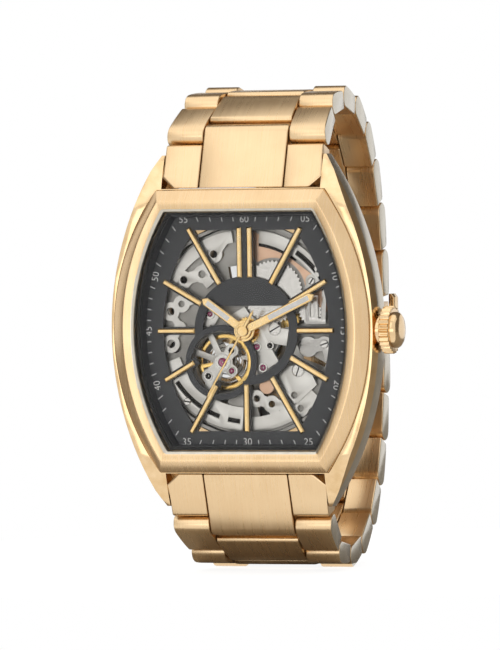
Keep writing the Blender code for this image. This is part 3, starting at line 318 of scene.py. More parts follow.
# Dark steel: it paints the shade inside screw slots and deep gaps, and it also colours the steady posts
DARK_STEEL_AND_SHADE = turned_metal("dark_steel_and_painted_shade", "#3A3835", "#262422", 0.4)
GILT = turned_metal("gilt_brass", "#F2D28C", "#D9AE5E", 0.22)
ROSE_GILT = blasted_metal("rose_gilt_plate", "#D8B59A", "#C49F84", 0.34)
# A darker copy of the blasted plate metal, painting the shade on the main plate's lower level under the bridges
STEEL_SHADE = blasted_metal("blasted_main_plate_painted_shade", "#A5A29C", "#8F8C86", 0.42)
DIAL = dial_lacquer()
INK = printed_ink("white_dial_ink", "#FAFAF8", "#EDEDEA", 0.4)
LUME = printed_ink("luminous_paint", "#F2F0EE", "#E4E2DF", 0.5)
RUBY = ruby()
GLASS = mineral_glass()
RUBBER = nitrile_rubber()
CARD_DARK = printed_ink("dark_card", "#7E766E", "#777067", 0.7)
CARD_GREY = printed_ink("grey_card", "#A39C92", "#9B948A", 0.7)


# Placing
def linked(name, data):
    """A new object in the scene."""
    item = bpy.data.objects.new(name, data)
    bpy.context.scene.collection.objects.link(item)
    return item


def mesh_of(name, shape):
    """The mesh of a shape, which is used up."""
    mesh = bpy.data.meshes.new(name)
    shape.to_mesh(mesh)
    shape.free()
    return mesh


def shape_of(mesh):
    shape = bmesh.new()
    shape.from_mesh(mesh)
    return shape


def place_mesh(name, mesh, material, body=HEAD):
    """A finished piece: smooth but for its sharp edges, riding a body."""
    mesh.transform(Matrix.Scale(MM, 4))
    mesh.materials.clear()
    mesh.materials.append(material)
    for face in mesh.polygons:
        face.use_smooth = True
    mesh.set_sharp_from_angle(angle=math.radians(SHARP_ANGLE))
    item = linked(name, mesh)
    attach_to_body(item, body)
    return item


def place_bmesh(name, shape, material, body=HEAD):
    bmesh.ops.remove_doubles(shape, verts=shape.verts, dist=0.0005)
    bmesh.ops.recalc_face_normals(shape, faces=shape.faces)
    return place_mesh(name, mesh_of(name, shape), material, body)


def paint_reflection_faces(item, material, chosen):
    """Gives the faces that a test picks, by place and facing, a second material: a polished gold whose pale grey
    paints a reflection.
    """
    item.data.materials.append(material)
    for face in item.data.polygons:
        if chosen(face.center / MM, face.normal):
            face.material_index = 1


def soften(shape, width, angle, segments, edges=None):
    """Round the sharp edges of a shape."""
    found = edges or shape.edges
    sharp = [e for e in found if len(e.link_faces) == 2 and e.calc_face_angle() > math.radians(angle)]
    bmesh.ops.bevel(
        shape, geom=sharp, offset=width, segments=segments, profile=0.5, affect="EDGES", material=-1,
        clamp_overlap=True,
    )


def bevel_top(shape, depth, width):
    """One flat bevel around the face at a depth."""
    top = [e for e in shape.edges if all(abs(v.co.y + depth) < 1e-6 for v in e.verts)]
    bmesh.ops.bevel(shape, geom=top, offset=width, segments=1, profile=0.5, affect="EDGES", material=-1)


def cleaned(shape, reach):
    """Merges close corners and joins the faces that lie flat together."""
    flat = math.radians(FLAT_ANGLE)
    bmesh.ops.remove_doubles(shape, verts=shape.verts, dist=reach)
    bmesh.ops.dissolve_limit(shape, angle_limit=flat, verts=shape.verts, edges=shape.edges)
    return shape


def pull(shape, faces):
    """Extrudes faces, and gives the new corners."""
    pulled = bmesh.ops.extrude_face_region(shape, geom=faces)
    return [v for v in pulled["geom"] if isinstance(v, bmesh.types.BMVert)]


def turned(outline, axis, steps):
    """A line of places turned once about an axis."""
    shape = bmesh.new()
    verts = [shape.verts.new(place) for place in outline]
    edges = [shape.edges.new(pair) for pair in zip(verts, verts[1:])]
    bmesh.ops.spin(
        shape, geom=verts + edges, cent=(0, 0, 0), axis=axis, angle=2 * math.pi, steps=steps,
        use_merge=True,
    )
    return shape


def turn_to(clock_angle, at=(0.0, 0.0), d=0.0):
    """Carries a shape drawn at twelve o'clock to a clock angle, then to a place."""
    return Matrix.Translation((at[0], -d, at[1])) @ Matrix.Rotation(math.radians(clock_angle), 4, "Y")


def clock_point(clock_angle, distance, at=(0.0, 0.0)):
    angle = math.radians(clock_angle)
    return at[0] + distance * math.sin(angle), at[1] + distance * math.cos(angle)


def circle_points(radius, at=(0.0, 0.0), steps=48):
    return [clock_point(360 * i / steps, radius, at) for i in range(steps)]


def bar_points(inner, outer, width, clock_angle, at=(0.0, 0.0)):
    ends = [clock_point(clock_angle, inner, at), clock_point(clock_angle, outer, at)]
    across = clock_point(clock_angle + 90, width / 2)
    sides = zip(ends + ends[::-1], (-1, -1, 1, 1))
    return [(x + s * across[0], z + s * across[1]) for (x, z), s in sides]


def sector_points(inner, outer, first, last, at=(0.0, 0.0)):
    """Part of a ring between two clock angles."""
    steps = max(2, int(abs(last - first) / 4))
    angles = [first + (last - first) * i / steps for i in range(steps + 1)]
    far = [clock_point(a, outer, at) for a in angles]
    return far + [clock_point(a, inner, at) for a in reversed(angles)]


def tonneau_points(half_height, corner, middle):
    bow = middle - corner
    radius = (half_height ** 2 + bow ** 2) / (2 * bow)
    reach = math.asin(half_height / radius)
    angles = [reach * (2 * i / SIDE_STEPS - 1) for i in range(SIDE_STEPS + 1)]
    right = [(middle - radius + radius * math.cos(a), radius * math.sin(a)) for a in angles]
    return right + [(-x, -z) for x, z in right]


def grown(sizes, by):
    return tuple(size + by for size in sizes)


def flat_mesh(curve, matrix):
    """The mesh of a flat curve or text, stood up to face -Y."""
    item = linked(curve.name, curve)
    graph = bpy.context.evaluated_depsgraph_get()
    mesh = bpy.data.meshes.new_from_object(item.evaluated_get(graph))
    bpy.data.objects.remove(item)
    mesh.transform(matrix @ Matrix.Rotation(math.pi / 2, 4, "X"))
    return mesh


def flat_plate(name, outlines, depths, chamfer, material):
    """A plate cut to closed outlines of (x, z), chamfered. An outline inside another is a hole."""
    curve = bpy.data.curves.new(name, "CURVE")
    curve.dimensions = "2D"
    curve.fill_mode = "BOTH"
    curve.extrude = (depths[1] - depths[0]) / 2 - chamfer
    curve.bevel_depth = chamfer
    curve.bevel_resolution = 1
    curve.offset = -chamfer
    for outline in outlines:
        spline = curve.splines.new("POLY")
        spline.points.add(len(outline) - 1)
        for point, (x, z) in zip(spline.points, outline):
            point.co = (x, z, 0, 1)
        spline.use_cyclic_u = True
    mesh = flat_mesh(curve, Matrix.Translation((0, -(depths[0] + depths[1]) / 2, 0)))
    return place_mesh(name, mesh, material)


# Lofts through tonneau loops
def spun_loop(shape, sizes, d):
    """A closed tonneau loop at a depth: two spun sides joined by straight ends."""
    half_height, corner, middle = sizes
    bow = middle - corner
    radius = (half_height ** 2 + bow ** 2) / (2 * bow)
    reach = math.asin(half_height / radius)
    before = set(shape.edges)
    ends = []
    for side in (1, -1):
        start = shape.verts.new((side * corner, -d, -side * half_height))
        centre = (side * (middle - radius), -d, 0)
        spun = bmesh.ops.spin(
            shape, geom=[start], cent=centre, axis=(0, 1, 0), angle=-2 * reach, steps=SIDE_STEPS,
        )
        last = [v for v in spun["geom_last"] if isinstance(v, bmesh.types.BMVert)][0]
        ends.append((start, last))
    shape.edges.new((ends[0][1], ends[1][0]))
    shape.edges.new((ends[1][1], ends[0][0]))
    return [e for e in shape.edges if e not in before]


def loft(profile, ring=True):
    """A body through tonneau loops, closed on itself or capped."""
    shape = bmesh.new()
    loops = [spun_loop(shape, sizes, d) for sizes, d in profile]
    pairs = list(zip(loops, loops[1:]))
    if ring:
        pairs.append((loops[-1], loops[0]))
    else:
        bmesh.ops.edgeloop_fill(shape, edges=loops[0])
        bmesh.ops.edgeloop_fill(shape, edges=loops[-1])
    for low, high in pairs:
        for first, second in zip(low, high):
            shape.faces.new((first.verts[0], first.verts[1], second.verts[1], second.verts[0]))
    bmesh.ops.recalc_face_normals(shape, faces=shape.faces)
    return shape


def raw_object(name, shape):
    bmesh.ops.recalc_face_normals(shape, faces=shape.faces)
    return linked(name, mesh_of(name, shape))


def carve(target, tool, operation="DIFFERENCE"):
    """Cut a body with another, which is used up."""
    change = target.modifiers.new("cut", "BOOLEAN")
    change.object = tool
    change.operation = operation
    change.solver = "EXACT"
    graph = bpy.context.evaluated_depsgraph_get()
    mesh = bpy.data.meshes.new_from_object(target.evaluated_get(graph))
    target.modifiers.clear()
    target.data = mesh
    bpy.data.objects.remove(tool)


def cube_between(low, high):
    shape = bmesh.new()
    bmesh.ops.create_cube(shape, size=1.0)
    size = [b - a for a, b in zip(low, high)]
    centre = [(a + b) / 2 for a, b in zip(low, high)]
    bmesh.ops.scale(shape, vec=size, verts=shape.verts)
    bmesh.ops.translate(shape, vec=centre, verts=shape.verts)
    return shape


def cylinder_along(axis, radius, low, high, at, steps=40):
    """A cylinder along X at (y, z), or along Y at (x, z)."""
    shape = bmesh.new()
    turn = Matrix.Rotation(math.pi / 2, 4, "Y" if axis == "X" else "X")
    bmesh.ops.create_cone(
        shape, cap_ends=True, segments=steps, radius1=radius, radius2=radius, depth=high - low,
        matrix=turn,
    )
    middle = (low + high) / 2
    place = (middle, at[0], at[1]) if axis == "X" else (at[0], middle, at[1])
    bmesh.ops.translate(shape, vec=place, verts=shape.verts)
    return shape


def make_case():
    levels = [(CASE_FOOT, CASE_FOOT_D), (CASE_BELLY, BELLY_D[0])]
    levels += [(CASE_BELLY, BELLY_D[1]), (CASE_SHOULDER, SHOULDER_D)]
    case = raw_object("case_middle", loft(levels, ring=False))
    # The lugs fall away in a curve, from the shoulder to the tip
    along = [LUG_STEP * step for step in range(9)]
    fall = [(LUG_START + reach, LUG_TOP_D - LUG_CURVE * reach ** 2) for reach in along]
    for side in (1, -1):
        wedge = bmesh.new()
        corners = fall + [(LUG_END, CLEAR_D), (LUG_START, CLEAR_D)]
        face = wedge.faces.new([wedge.verts.new((-24, -d, side * z)) for z, d in corners])
        bmesh.ops.translate(wedge, vec=(48, 0, 0), verts=pull(wedge, [face]))
        carve(case, raw_object("wedge", wedge))
        z = sorted((side * (END_LINK_Z - FIT), side * LUG_END))
        recess = cube_between((-RECESS_HALF, -CLEAR_D, z[0]), (RECESS_HALF, 1, z[1]))
        carve(case, raw_object("recess", recess))
    pocket_line = grown(BEZEL_OUTER, 0.04)
    pocket = loft([(pocket_line, 8.71), (pocket_line, CLEAR_D)], ring=False)
    carve(case, raw_object("pocket", pocket))
    room_line = grown(DIAL_OUTLINE, FIT)
    room = loft([(room_line, 7.8), (room_line, CLEAR_D)], ring=False)
    carve(case, raw_object("dial_room", room))
    carve(case, raw_object("bore", cylinder_along("Y", 15.8, -CLEAR_D, -1.0, (0, 0), 96)))
    carve(case, raw_object("tube", cylinder_along("X", 2.4, 19.9, 20.75, (-STEM_D, 0))), "UNION")
    carve(case, raw_object("stem_way", cylinder_along("X", 0.5, 11.6, 21.5, (-STEM_D, 0))))
    shape = cleaned(shape_of(case.data), 0.001)
    bpy.data.objects.remove(case)
    soften(shape, 0.12, 24.0, 3)

    # The case's side band gets the pale grey gold, a painted reflection of the bright surround on the polished
    # side
    def on_flank(at, way):
        return abs(way.y) < 0.2 and abs(at.x) > 12.4 and -BELLY_D[1] < at.y < -BELLY_D[0]

    item = place_bmesh("case_middle", shape, GOLD_POLISH)
    paint_reflection_faces(item, GOLD_PAINTED_REFLECTION, on_flank)
    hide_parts("case")


def make_bezel():
    ledge = grown(BEZEL_LIP, -0.45)
    profile = [
        (BEZEL_OUTER, BEZEL_FOOT_D), (BEZEL_OUTER, 10.45), (BEZEL_RIDGE, 11.9),
        (grown(BEZEL_LIP, 0.4), 11.7), (BEZEL_LIP, 11.35), (BEZEL_LIP, LEDGE_D),
        (ledge, LEDGE_D), (ledge, BEZEL_FOOT_D),
    ]
    shape = loft(profile)
    soften(shape, 0.16, 6.0, 3)

    # The faces that look inwards get the pale grey gold, a painted highlight where the polished inner lip reflects
    def faces_in(at, way):
        return way.x * at.x + way.z * at.z < -0.4 * math.hypot(at.x, at.z)

    item = place_bmesh("bezel_ring", shape, GOLD_SATIN_BEZEL)
    paint_reflection_faces(item, GOLD_PAINTED_REFLECTION, faces_in)
    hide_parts("bezel")
    wall, foot = grown(BEZEL_LIP, -0.47), grown(BEZEL_LIP, -0.8)
    shape = loft([(wall, 8.33), (wall, 9.98), (grown(BEZEL_LIP, -0.55), 9.98), (foot, 8.33)])
    place_bmesh("dial_flange", shape, DIAL)
    edge, inside = grown(BEZEL_LIP, -0.1), grown(BEZEL_LIP, -0.45)
    shape = loft([(edge, 10.1), (edge, 10.35), (inside, 10.35), (inside, 10.1)])
    item = place_bmesh("crystal_seal", shape, RUBBER)
    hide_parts("crystal_gasket")
    shape = loft([(edge, 10.4), (edge, 11.4), (grown(edge, -0.15), 11.55)], ring=False)
    item = place_bmesh("front_crystal", shape, GLASS)
    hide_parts("crystal")


def make_crown():
    """A ring of round flutes and a domed cap, turned about the stem."""
    shape = bmesh.new()
    steps = FLUTES * STEPS_PER_FLUTE
    bmesh.ops.create_circle(shape, cap_ends=True, radius=CROWN_RADIUS, segments=steps)
    for vert in shape.verts:
        wave = 0.5 - 0.5 * math.cos(FLUTES * math.atan2(vert.co.y, vert.co.x))
        vert.co *= (CROWN_RADIUS - FLUTE_DEPTH * wave ** 0.7) / vert.co.length
    bmesh.ops.translate(shape, vec=(0, 0, 1.5), verts=pull(shape, list(shape.faces)))
    rims = [e for e in shape.edges if abs(e.verts[0].co.z - e.verts[1].co.z) < 1e-6]
    soften(shape, 0.2, 40.0, 3, rims)
    dome = [(2.6, 1.4), (2.6, 1.95), (2.45, 2.25), (2.08, 2.5), (1.2, 2.58), (0.0, 2.6)]
    shape.from_mesh(mesh_of("cap", turned([(r, 0, h) for r, h in dome], (0, 0, 1), 64)))
    place = Matrix.Translation((CROWN_FOOT_X, -STEM_D, 0))
    shape.transform(place @ Matrix.Rotation(math.pi / 2, 4, "Y"))
    item = place_bmesh("fluted_crown", shape, GOLD_POLISH, "winding_crown")
    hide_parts("crown")


# Bracelet
def pin_points():
    """The pins' (y, z) on the twelve o'clock side, from the part's own joints."""
    joints = {j["name"]: j for j in frame["joints"]}
    names = ["row_6_%d_turn" % k for k in range(1, ROWS + 1)] + ["clasp_open"]
    return [(joints[n]["pos_m"][1] / MM, -joints[n]["pos_m"][2] / MM) for n in names]


PINS = pin_points()


def half_width(pin):
    share = (1 - pin / ROWS) ** 2
    return (WIDTH_AT_CLASP + (WIDTH_AT_CASE - WIDTH_AT_CLASP) * share) / 2


def link_matrix(start, end, side):
    """From a link's own (x, u, v) to the watch: u runs away from the case, v away from the wrist."""
    length = math.dist(start, end)
    a, b = (end[0] - start[0]) / length, (end[1] - start[1]) / length
    across, outward = (0, a, -b, start[0]), (0, side * b, side * a, side * start[1])
    return Matrix(((1, 0, 0, 0), across, outward, (0, 0, 0, 1)))


def nose(u, radius, way, steps=10):
    angles = [math.pi * i / steps for i in range(steps + 1)]
    return [(u + way * radius * math.sin(a), radius * math.cos(a)) for a in angles]


def run_across(profile, x_low, x_high):
    """A profile of (u, v) run from one x to another, each a function of u, with its edges rounded."""
    shape = bmesh.new()
    face = shape.faces.new([shape.verts.new((0, u, v)) for u, v in profile])
    far = set(pull(shape, [face]))
    for vert in shape.verts:
        vert.co.x = x_high(vert.co.y) if vert in far else x_low(vert.co.y)
    bmesh.ops.recalc_face_normals(shape, faces=shape.faces)
    soften(shape, 0.18, 30.0, 3)
    return shape


def merge_shapes(shapes):
    """Several shapes in one."""
    whole = bmesh.new()
    for shape in shapes:
        mesh = mesh_of("part", shape)
        whole.from_mesh(mesh)
        bpy.data.meshes.remove(mesh)
    return whole


def pin_rod(u, radius, half):
    """A pin across a link."""
    shape = bmesh.new()
    turn = Matrix.Translation((0, u, 0)) @ Matrix.Rotation(math.pi / 2, 4, "Y")
    bmesh.ops.create_cone(
        shape, cap_ends=True, segments=20, radius1=radius, radius2=radius, depth=2 * half, matrix=turn,
    )
    return shape


def crowned(profile, start, end):
    """A link's profile with its outer face falling away from the case in a soft curve."""
    shares = [min(1.0, max(0.0, (u - start) / (end - start))) for u, v in profile]
    return [(u, v - CROWN_FALL * t * t * max(0.0, v / LINK_RADIUS)) for (u, v), t in zip(profile, shares)]


def make_row(side, number):
    start, end = PINS[number - 1], PINS[number]
    name = "row_%s_%d" % ("12" if side > 0 else "6", number)
    p, r = math.dist(start, end), LINK_RADIUS
    near, far = half_width(number - 1), half_width(number)

    def edge(share, sign, gap=0.0):
        return lambda u: sign * (share * (near + (far - near) * u / p) + gap)

    last, first, c = p - r - LINK_GAP, r + LINK_GAP, LINK_CORNER
    flank = nose(0, r, -1) + [(last, -r), (last, r - c), (last - c, r)]
    flank = crowned(flank + [(last * i / 6, r) for i in range(5, 0, -1)], 0.0, last)
    middle = [(first + c, r), (first, r - c), (first, -r)] + list(reversed(nose(p, r, 1)))
    middle = crowned(middle + [(first + (p - first) * i / 6, r) for i in range(5, 0, -1)], first, p)
    shapes = [run_across(middle, edge(CENTRE_SHARE, -1), edge(CENTRE_SHARE, 1))]
    for sign in (1, -1):
        low, high = edge(CENTRE_SHARE, sign, SEAM), edge(1.0, sign)
        shapes.append(run_across(flank, low, high))
    shapes.append(pin_rod(p / 2, 0.7, CENTRE_SHARE * near + 1))
    if not (side > 0 and number == 1):
        shapes.append(pin_rod(0, 0.5, near - 0.05))
    whole = merge_shapes(shapes)
    whole.transform(link_matrix(start, end, side))
    item = place_bmesh(name + "_link", whole, GOLD_SATIN, name)
    # The links' outer sides get the pale grey gold, a painted reflection of the bright surround on their polished
    # sides
    paint_reflection_faces(item, GOLD_PAINTED_REFLECTION, lambda at, way: abs(way.x) > 0.9 and abs(at.x) > far - 0.3)
    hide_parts(name)


def make_end_link(side):
    start = (-END_LINK_D, END_LINK_Z)
    p, r = math.dist(start, PINS[0]), LINK_RADIUS
    half = half_width(0)
    centre = CENTRE_SHARE * half
    last = p - r - LINK_GAP
    name = "end_link_12" if side > 0 else "end_link_6"
    lean = r * (PINS[0][0] - start[0]) / (PINS[0][1] - start[1])
    taper, c = END_LINK_TAPER, LINK_CORNER
    body = [(last - c, r), (last * 0.6, r), (taper, r), (0.02 - lean, r), (0.02 + lean, -r)]
    body += [(taper, -r), (last, -r), (last, r - c)]
    tongue = [(0.04 - lean, r), (0.04 + lean, -r)] + list(reversed(nose(p, r, 1)))
    shapes = [run_across(tongue, lambda u: -centre, lambda u: centre)]
    for sign in (1, -1):
        def inner(u, sign=sign):
            return sign * (centre + SEAM)

        def outer(u, sign=sign):
            return sign * (half - max(0.0, taper - u))
        shapes.append(run_across(body, inner, outer))
    whole = merge_shapes(shapes)
    whole.transform(link_matrix(start, PINS[0], side))
    item = place_bmesh(name + "_block", whole, GOLD_SATIN)
    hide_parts(name)


# Dial
def within_dial(by):
    """Depths a little inside the dial's, so that overlapping plates do not share a face."""
    return DIAL_D[0] + by, DIAL_D[1] - by


def make_dial():
    frame_lines = [tonneau_points(*DIAL_OUTLINE), tonneau_points(*DIAL_WINDOW)]
    plate = flat_plate("dial_frame", frame_lines, DIAL_D, PLATE_EDGE, DIAL)
    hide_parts("dial")
    open_angles = [a for a in range(0, 361, 3) if math.dist(clock_point(a, 7.25), BALANCE_AT) > 4.95]
    starts = [a for a in open_angles if a - 3 not in open_angles and a > 0]
    first = starts[0] - 360 if starts else 0
    last = max(a for a in open_angles if a < starts[0]) if starts else 360
    ring = sector_points(6.6, 7.9, first, last)
    flat_plate("dial_ring", [ring], within_dial(0.01), PLATE_EDGE, DIAL)
    reach = math.degrees(math.acos(3.6 / 7.85))
    field = [clock_point(a * reach / 20, 7.85) for a in range(-20, 21)]
    flat_plate("dial_field", [field], within_dial(0.02), PLATE_EDGE, DIAL)
    ring = [circle_points(5.45, BALANCE_AT, 72), circle_points(4.55, BALANCE_AT, 72)]
    depths = (DIAL_D[0] + 0.005, DIAL_D[1] + 0.01)
    flat_plate("balance_surround", ring, depths, 0.05, DIAL)


def baton(inner, outer, clock_angle, offset=0.0):
    """An applied bar with sloping edges to its top."""
    low, high = INDEX_D
    half = INDEX_WIDTH / 2
    shape = cube_between((offset - half, -high, inner), (offset + half, -low, outer))
    bevel_top(shape, high, 0.16)
    shape.transform(Matrix.Rotation(math.radians(clock_angle), 4, "Y"))
    return shape


def make_indices():
    shapes = []
    for hour, outer in enumerate(INDEX_OUTER):
        if hour == 0:
            for offset in (-0.78, 0.78):
                shapes.append(baton(7.7, outer, 0, offset))
            continue
        inner = 9.2 if hour in (7, 8) else 7.8
        shapes.append(baton(inner, outer, 30 * hour))
    place_bmesh("applied_indices", merge_shapes(shapes), GOLD_APPLIED)
    for hour, outer in enumerate(INDEX_OUTER):
        inner = 8.6 if hour in (7, 8) else 7.3
        width = 2.5 if hour == 0 else 1.15
        outline = bar_points(inner, outer - 0.1, width, 30 * hour)
        name = "index_rib_%d" % hour
        flat_plate(name, [outline], within_dial(0.03), PLATE_EDGE, DIAL)


def edge_place(clock_angle, sizes):
    """Where a ray at a clock angle meets a tonneau, and whether that is on a bowed side."""
    half_height, corner, _ = sizes
    way = clock_point(clock_angle, 1.0)
    if abs(way[1]) * corner >= abs(way[0]) * half_height:
        share = half_height / abs(way[1])
        return (way[0] * share, way[1] * share), False
    ahead = [p for p in tonneau_points(*sizes) if p[0] * way[0] + p[1] * way[1] > 0]
    best = min(ahead, key=lambda p: abs(p[0] * way[1] - p[1] * way[0]))
    reach = math.hypot(*best)
    return (way[0] * reach, way[1] * reach), True


def make_minute_track():
    ticks = []
    outer_line, inner_line = grown(DIAL_OUTLINE, -1.15), grown(DIAL_OUTLINE, -1.75)
    inked = DIAL_D[1] + 0.005
    for minute in range(60):
        angle = 6 * minute
        if minute % 5 == 0:
            continue
        (x0, z0), _ = edge_place(angle, outer_line)
        (x1, z1), _ = edge_place(angle, inner_line)
        shape = cube_between((-0.05, -inked - 0.02, 0), (0.05, -inked, math.dist((x0, z0), (x1, z1))))
        shape.transform(turn_to(math.degrees(math.atan2(x0 - x1, z0 - z1)), (x1, z1)))
        ticks.append(shape)
    place_bmesh("minute_ticks", merge_shapes(ticks), INK)
    for minute in range(5, 61, 5):
        (x, z), bowed = edge_place(6 * minute, grown(DIAL_OUTLINE, -1.45))
        text = bpy.data.curves.new("numeral_%02d" % minute, "FONT")
        text.body = "%02d" % minute
        text.size = 1.45
        text.offset = -0.015
        text.align_x = "CENTER"
        text.align_y = "CENTER"
        text.extrude = 0.01
        side = 1 if x > 0 else -1
        lean = side * (90.0 - math.degrees(math.atan2(z, 45.0))) if bowed else 0.0
        mesh = flat_mesh(text, turn_to(lean, (x, z), inked + 0.01))
        place_mesh("minute_%02d" % minute, mesh, INK)


# Hands
def hand_blade(length, width, low, thick, clock_angle, tail=0.4):
    """A baton hand's blade with a pointed tip and sloping edges to its top."""
    shape = bmesh.new()
    half, neck = width / 2, length - 0.7
    outline = [(-half, tail), (-half, neck), (0, length), (half, neck), (half, tail)]
    face = shape.faces.new([shape.verts.new((x, -low, z)) for x, z in outline])
    bmesh.ops.translate(shape, vec=(0, -thick, 0), verts=pull(shape, [face]))
    bmesh.ops.recalc_face_normals(shape, faces=shape.faces)
    bevel_top(shape, low + thick, min(0.12, width / 4))
    shape.transform(Matrix.Rotation(math.radians(clock_angle), 4, "Y"))
    return shape


def hub(profile, steps=48):
    """A turned hub on the hands' axis: profile is (radius, depth)."""
    return turned([(r, -d, 0) for r, d in profile], (0, 1, 0), steps)


def make_hands():
    rows = (
        ("hour_hand", 306.0, 8.0, 1.25, 9.0, "hour_pipe", 1.55, 1.05),
        ("minute_hand", 64.5, 12.1, 1.25, 9.45, "minute_arbor", 1.17, 0.68),
    )
    for name, angle, length, width, d, body, outer, bore in rows:
        profile = [(bore, d), (outer, d), (outer, d + 0.15), (outer - 0.08, d + 0.2)]
        ring = hub(profile + [(bore, d + 0.2), (bore, d)])
        blade = hand_blade(length, width, d + 0.02, 0.17, angle, outer - 0.25)
        item = place_bmesh(name + "_gilt", merge_shapes([ring, blade]), GOLD_APPLIED, body)
        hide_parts(name)
        insert = cube_between((-0.36, -d - 0.21, length * 0.36), (0.36, -d - 0.17, length - 1.0))
        insert.transform(Matrix.Rotation(math.radians(angle), 4, "Y"))
        place_bmesh(name + "_lume", insert, LUME, body)
    d = 9.9
    cap = hub([(0.0, d), (0.8, d), (0.8, d + 0.12), (0.7, d + 0.2), (0.0, d + 0.2)])
    needle = hand_blade(11.3, 0.3, d + 0.02, 0.16, 210.0)
    tail = hand_blade(3.6, 0.42, d + 0.02, 0.16, 30.0)
    whole = merge_shapes([cap, needle, tail])
    item = place_bmesh("seconds_needle", whole, GOLD_APPLIED, "seconds_arbor")
    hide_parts("seconds_hand")


# Movement dress
def screw(at, d, radius, turn):
    """A slotted cheese-head screw, seen from the front: its head, and a dark strip across it that paints the shade
    inside the slot.
    """
    profile = [(0.0, d + 0.22), (radius * 0.86, d + 0.22), (radius, d + 0.14), (radius, d)]
    head = hub(profile, HOLE_STEPS)
    head.transform(Matrix.Translation((at[0], 0, at[1])))
    slot = cube_between((-0.09, -d - 0.23, -radius * 0.93), (0.09, -d - 0.2, radius * 0.93))
    slot.transform(turn_to(turn, at))
    return head, slot


def jewel(at, d, radius, rim=0.22):
    """A bearing stone in its setting."""
    top, outer = d + 0.12, radius + rim
    stone = hub([(0.09, d + 0.02), (0.16, d + 0.1), (radius * 0.8, top), (radius, d)], HOLE_STEPS)
    setting = hub([(radius, d), (radius + 0.06, top), (outer, top), (outer + 0.04, d)], HOLE_STEPS)
    for shape in (stone, setting):
        shape.transform(Matrix.Translation((at[0], 0, at[1])))
    return stone, setting


def prism_along(outline, depths):
    """An outline of (x, z) run through a depth."""
    shape = bmesh.new()
    face = shape.faces.new([shape.verts.new((x, -depths[0], z)) for x, z in outline])
    bmesh.ops.translate(shape, vec=(0, depths[0] - depths[1], 0), verts=pull(shape, [face]))
    return shape


def lobed_bridge(name, outlines, holes, depths, material=STEEL_BLASTED):
    """A bridge joined from overlapping outlines, with holes through it and rounded edges."""
    whole = raw_object(name, prism_along(outlines[0], depths))
    for outline in outlines[1:]:
        carve(whole, raw_object("lobe", prism_along(outline, depths)), "UNION")
    for hole in holes:
        carve(whole, raw_object("hole", prism_along(hole, (depths[0] - 1, depths[1] + 1))))
    shape = cleaned(shape_of(whole.data), 0.001)
    bpy.data.objects.remove(whole)
    soften(shape, 0.07, 30.0, 2)
    return place_bmesh(name, shape, material)


def strut(start, end, width):
    """The outline of a bar from one place to another."""
    angle = math.degrees(math.atan2(end[0] - start[0], end[1] - start[1]))
    return bar_points(0.0, math.dist(start, end), width, angle, start)


def discs(places, radii, steps=LOBE_STEPS):
    """Round outlines at places, each with its own radius."""
    return [circle_points(radius, at, steps) for at, radius in zip(places, radii)]


def make_left_bridges():
    a, b, c = lobes = (-5.04, 11.1), (-6.9, 8.2), (-9.7, 7.4)
    outlines = discs(lobes, (1.3, 1.3, 1.3))
    outlines += [strut(a, b, 1.5), strut(b, c, 1.7), strut(a, (-3.3, 13.4), 1.6)]
    outlines += [strut(c, (-11.4, 8.2), 1.1), strut(b, (-5.6, 6.6), 1.5)]
    outlines += [sector_points(12.9, RIM_RADIUS, 299, 351)]
    holes = discs(lobes, (0.56, 0.56, 0.56), HOLE_STEPS)
    lobed_bridge("bridge_upper_left", outlines, holes, COVER_D)
    a, b, c, e = lobes = (-11.8, 2.8), (-10.1, 3.9), (-11.8, -1.9), (-10.4, 0.5)
    outlines = discs(lobes, (1.35, 1.25, 1.3, 0.9))
    outlines += [strut(a, b, 1.7), strut(a, e, 1.0), strut(e, c, 1.0), strut(b, (-8.2, 4.6), 1.3)]
    holes = discs(lobes, (0.6, 0.5, 0.62), HOLE_STEPS)
    lobed_bridge("bridge_left", outlines, holes, COVER_D)
    a, b, c, e = lobes = BALANCE_AT, (-2.5, -2.9), (-2.5, -5.85), (-6.1, -6.6)
    outlines = discs(lobes, (1.5, 1.0, 0.85, 1.05))
    outlines += [strut(a, b, 1.7), strut(a, c, 1.6), strut(a, e, 1.7), strut(e, (-6.0, -9.0), 1.2)]
    depths = (BRIDGE_FRONT_D - 0.28, BRIDGE_FRONT_D - 0.01)
    lobed_bridge("balance_cock", outlines, [], depths)
    rim = sector_points(11.2, RIM_RADIUS, 184, 250)
    holes = [sector_points(12.95, 13.6, 200, 236), sector_points(12.95, 13.6, 186, 194)]
    lobed_bridge("rim_lower_left", [rim], holes, COVER_D)
    a = (-5.7, 2.4)
    outlines = discs([a], [1.15]) + [strut((-5.9, 1.0), (-4.6, 3.4), 1.7), strut(a, (-6.4, 0.7), 1.2)]
    lobed_bridge("bridge_centre_left", outlines, [], COVER_D)


def make_right_bridges():
    plate = [(5.2, -5.2), (9.1, -4.9), (10.5, -7.9), (7.1, -10.9), (4.4, -7.9)]
    holes = discs([(7.0, -9.4)], [0.5], HOLE_STEPS)
    lobed_bridge("bridge_lower_right", [plate], holes, (COVER_D[0], 7.6))
    a, b, c = lobes = (1.2, -9.9), (3.5, -10.7), (7.9, -11.3)
    outlines = discs(lobes, (1.25, 1.25, 1.25))
    outlines += [strut(a, b, 1.6), strut(b, c, 1.5), sector_points(12.6, RIM_RADIUS, 132, 182)]
    outlines += [strut(b, (4.4, -13.4), 1.5), strut(c, (8.6, -10.6), 1.6)]
    holes = discs(lobes, (0.5, 0.5, 0.5), HOLE_STEPS)
    lobed_bridge("bridge_lower", outlines, holes, (COVER_D[0], 7.45))
    rim = sector_points(12.8, RIM_RADIUS, 8, 66)
    holes = [sector_points(13.25, 13.95, 34, 58)]
    lobed_bridge("rim_upper_right", [rim], holes, COVER_D)


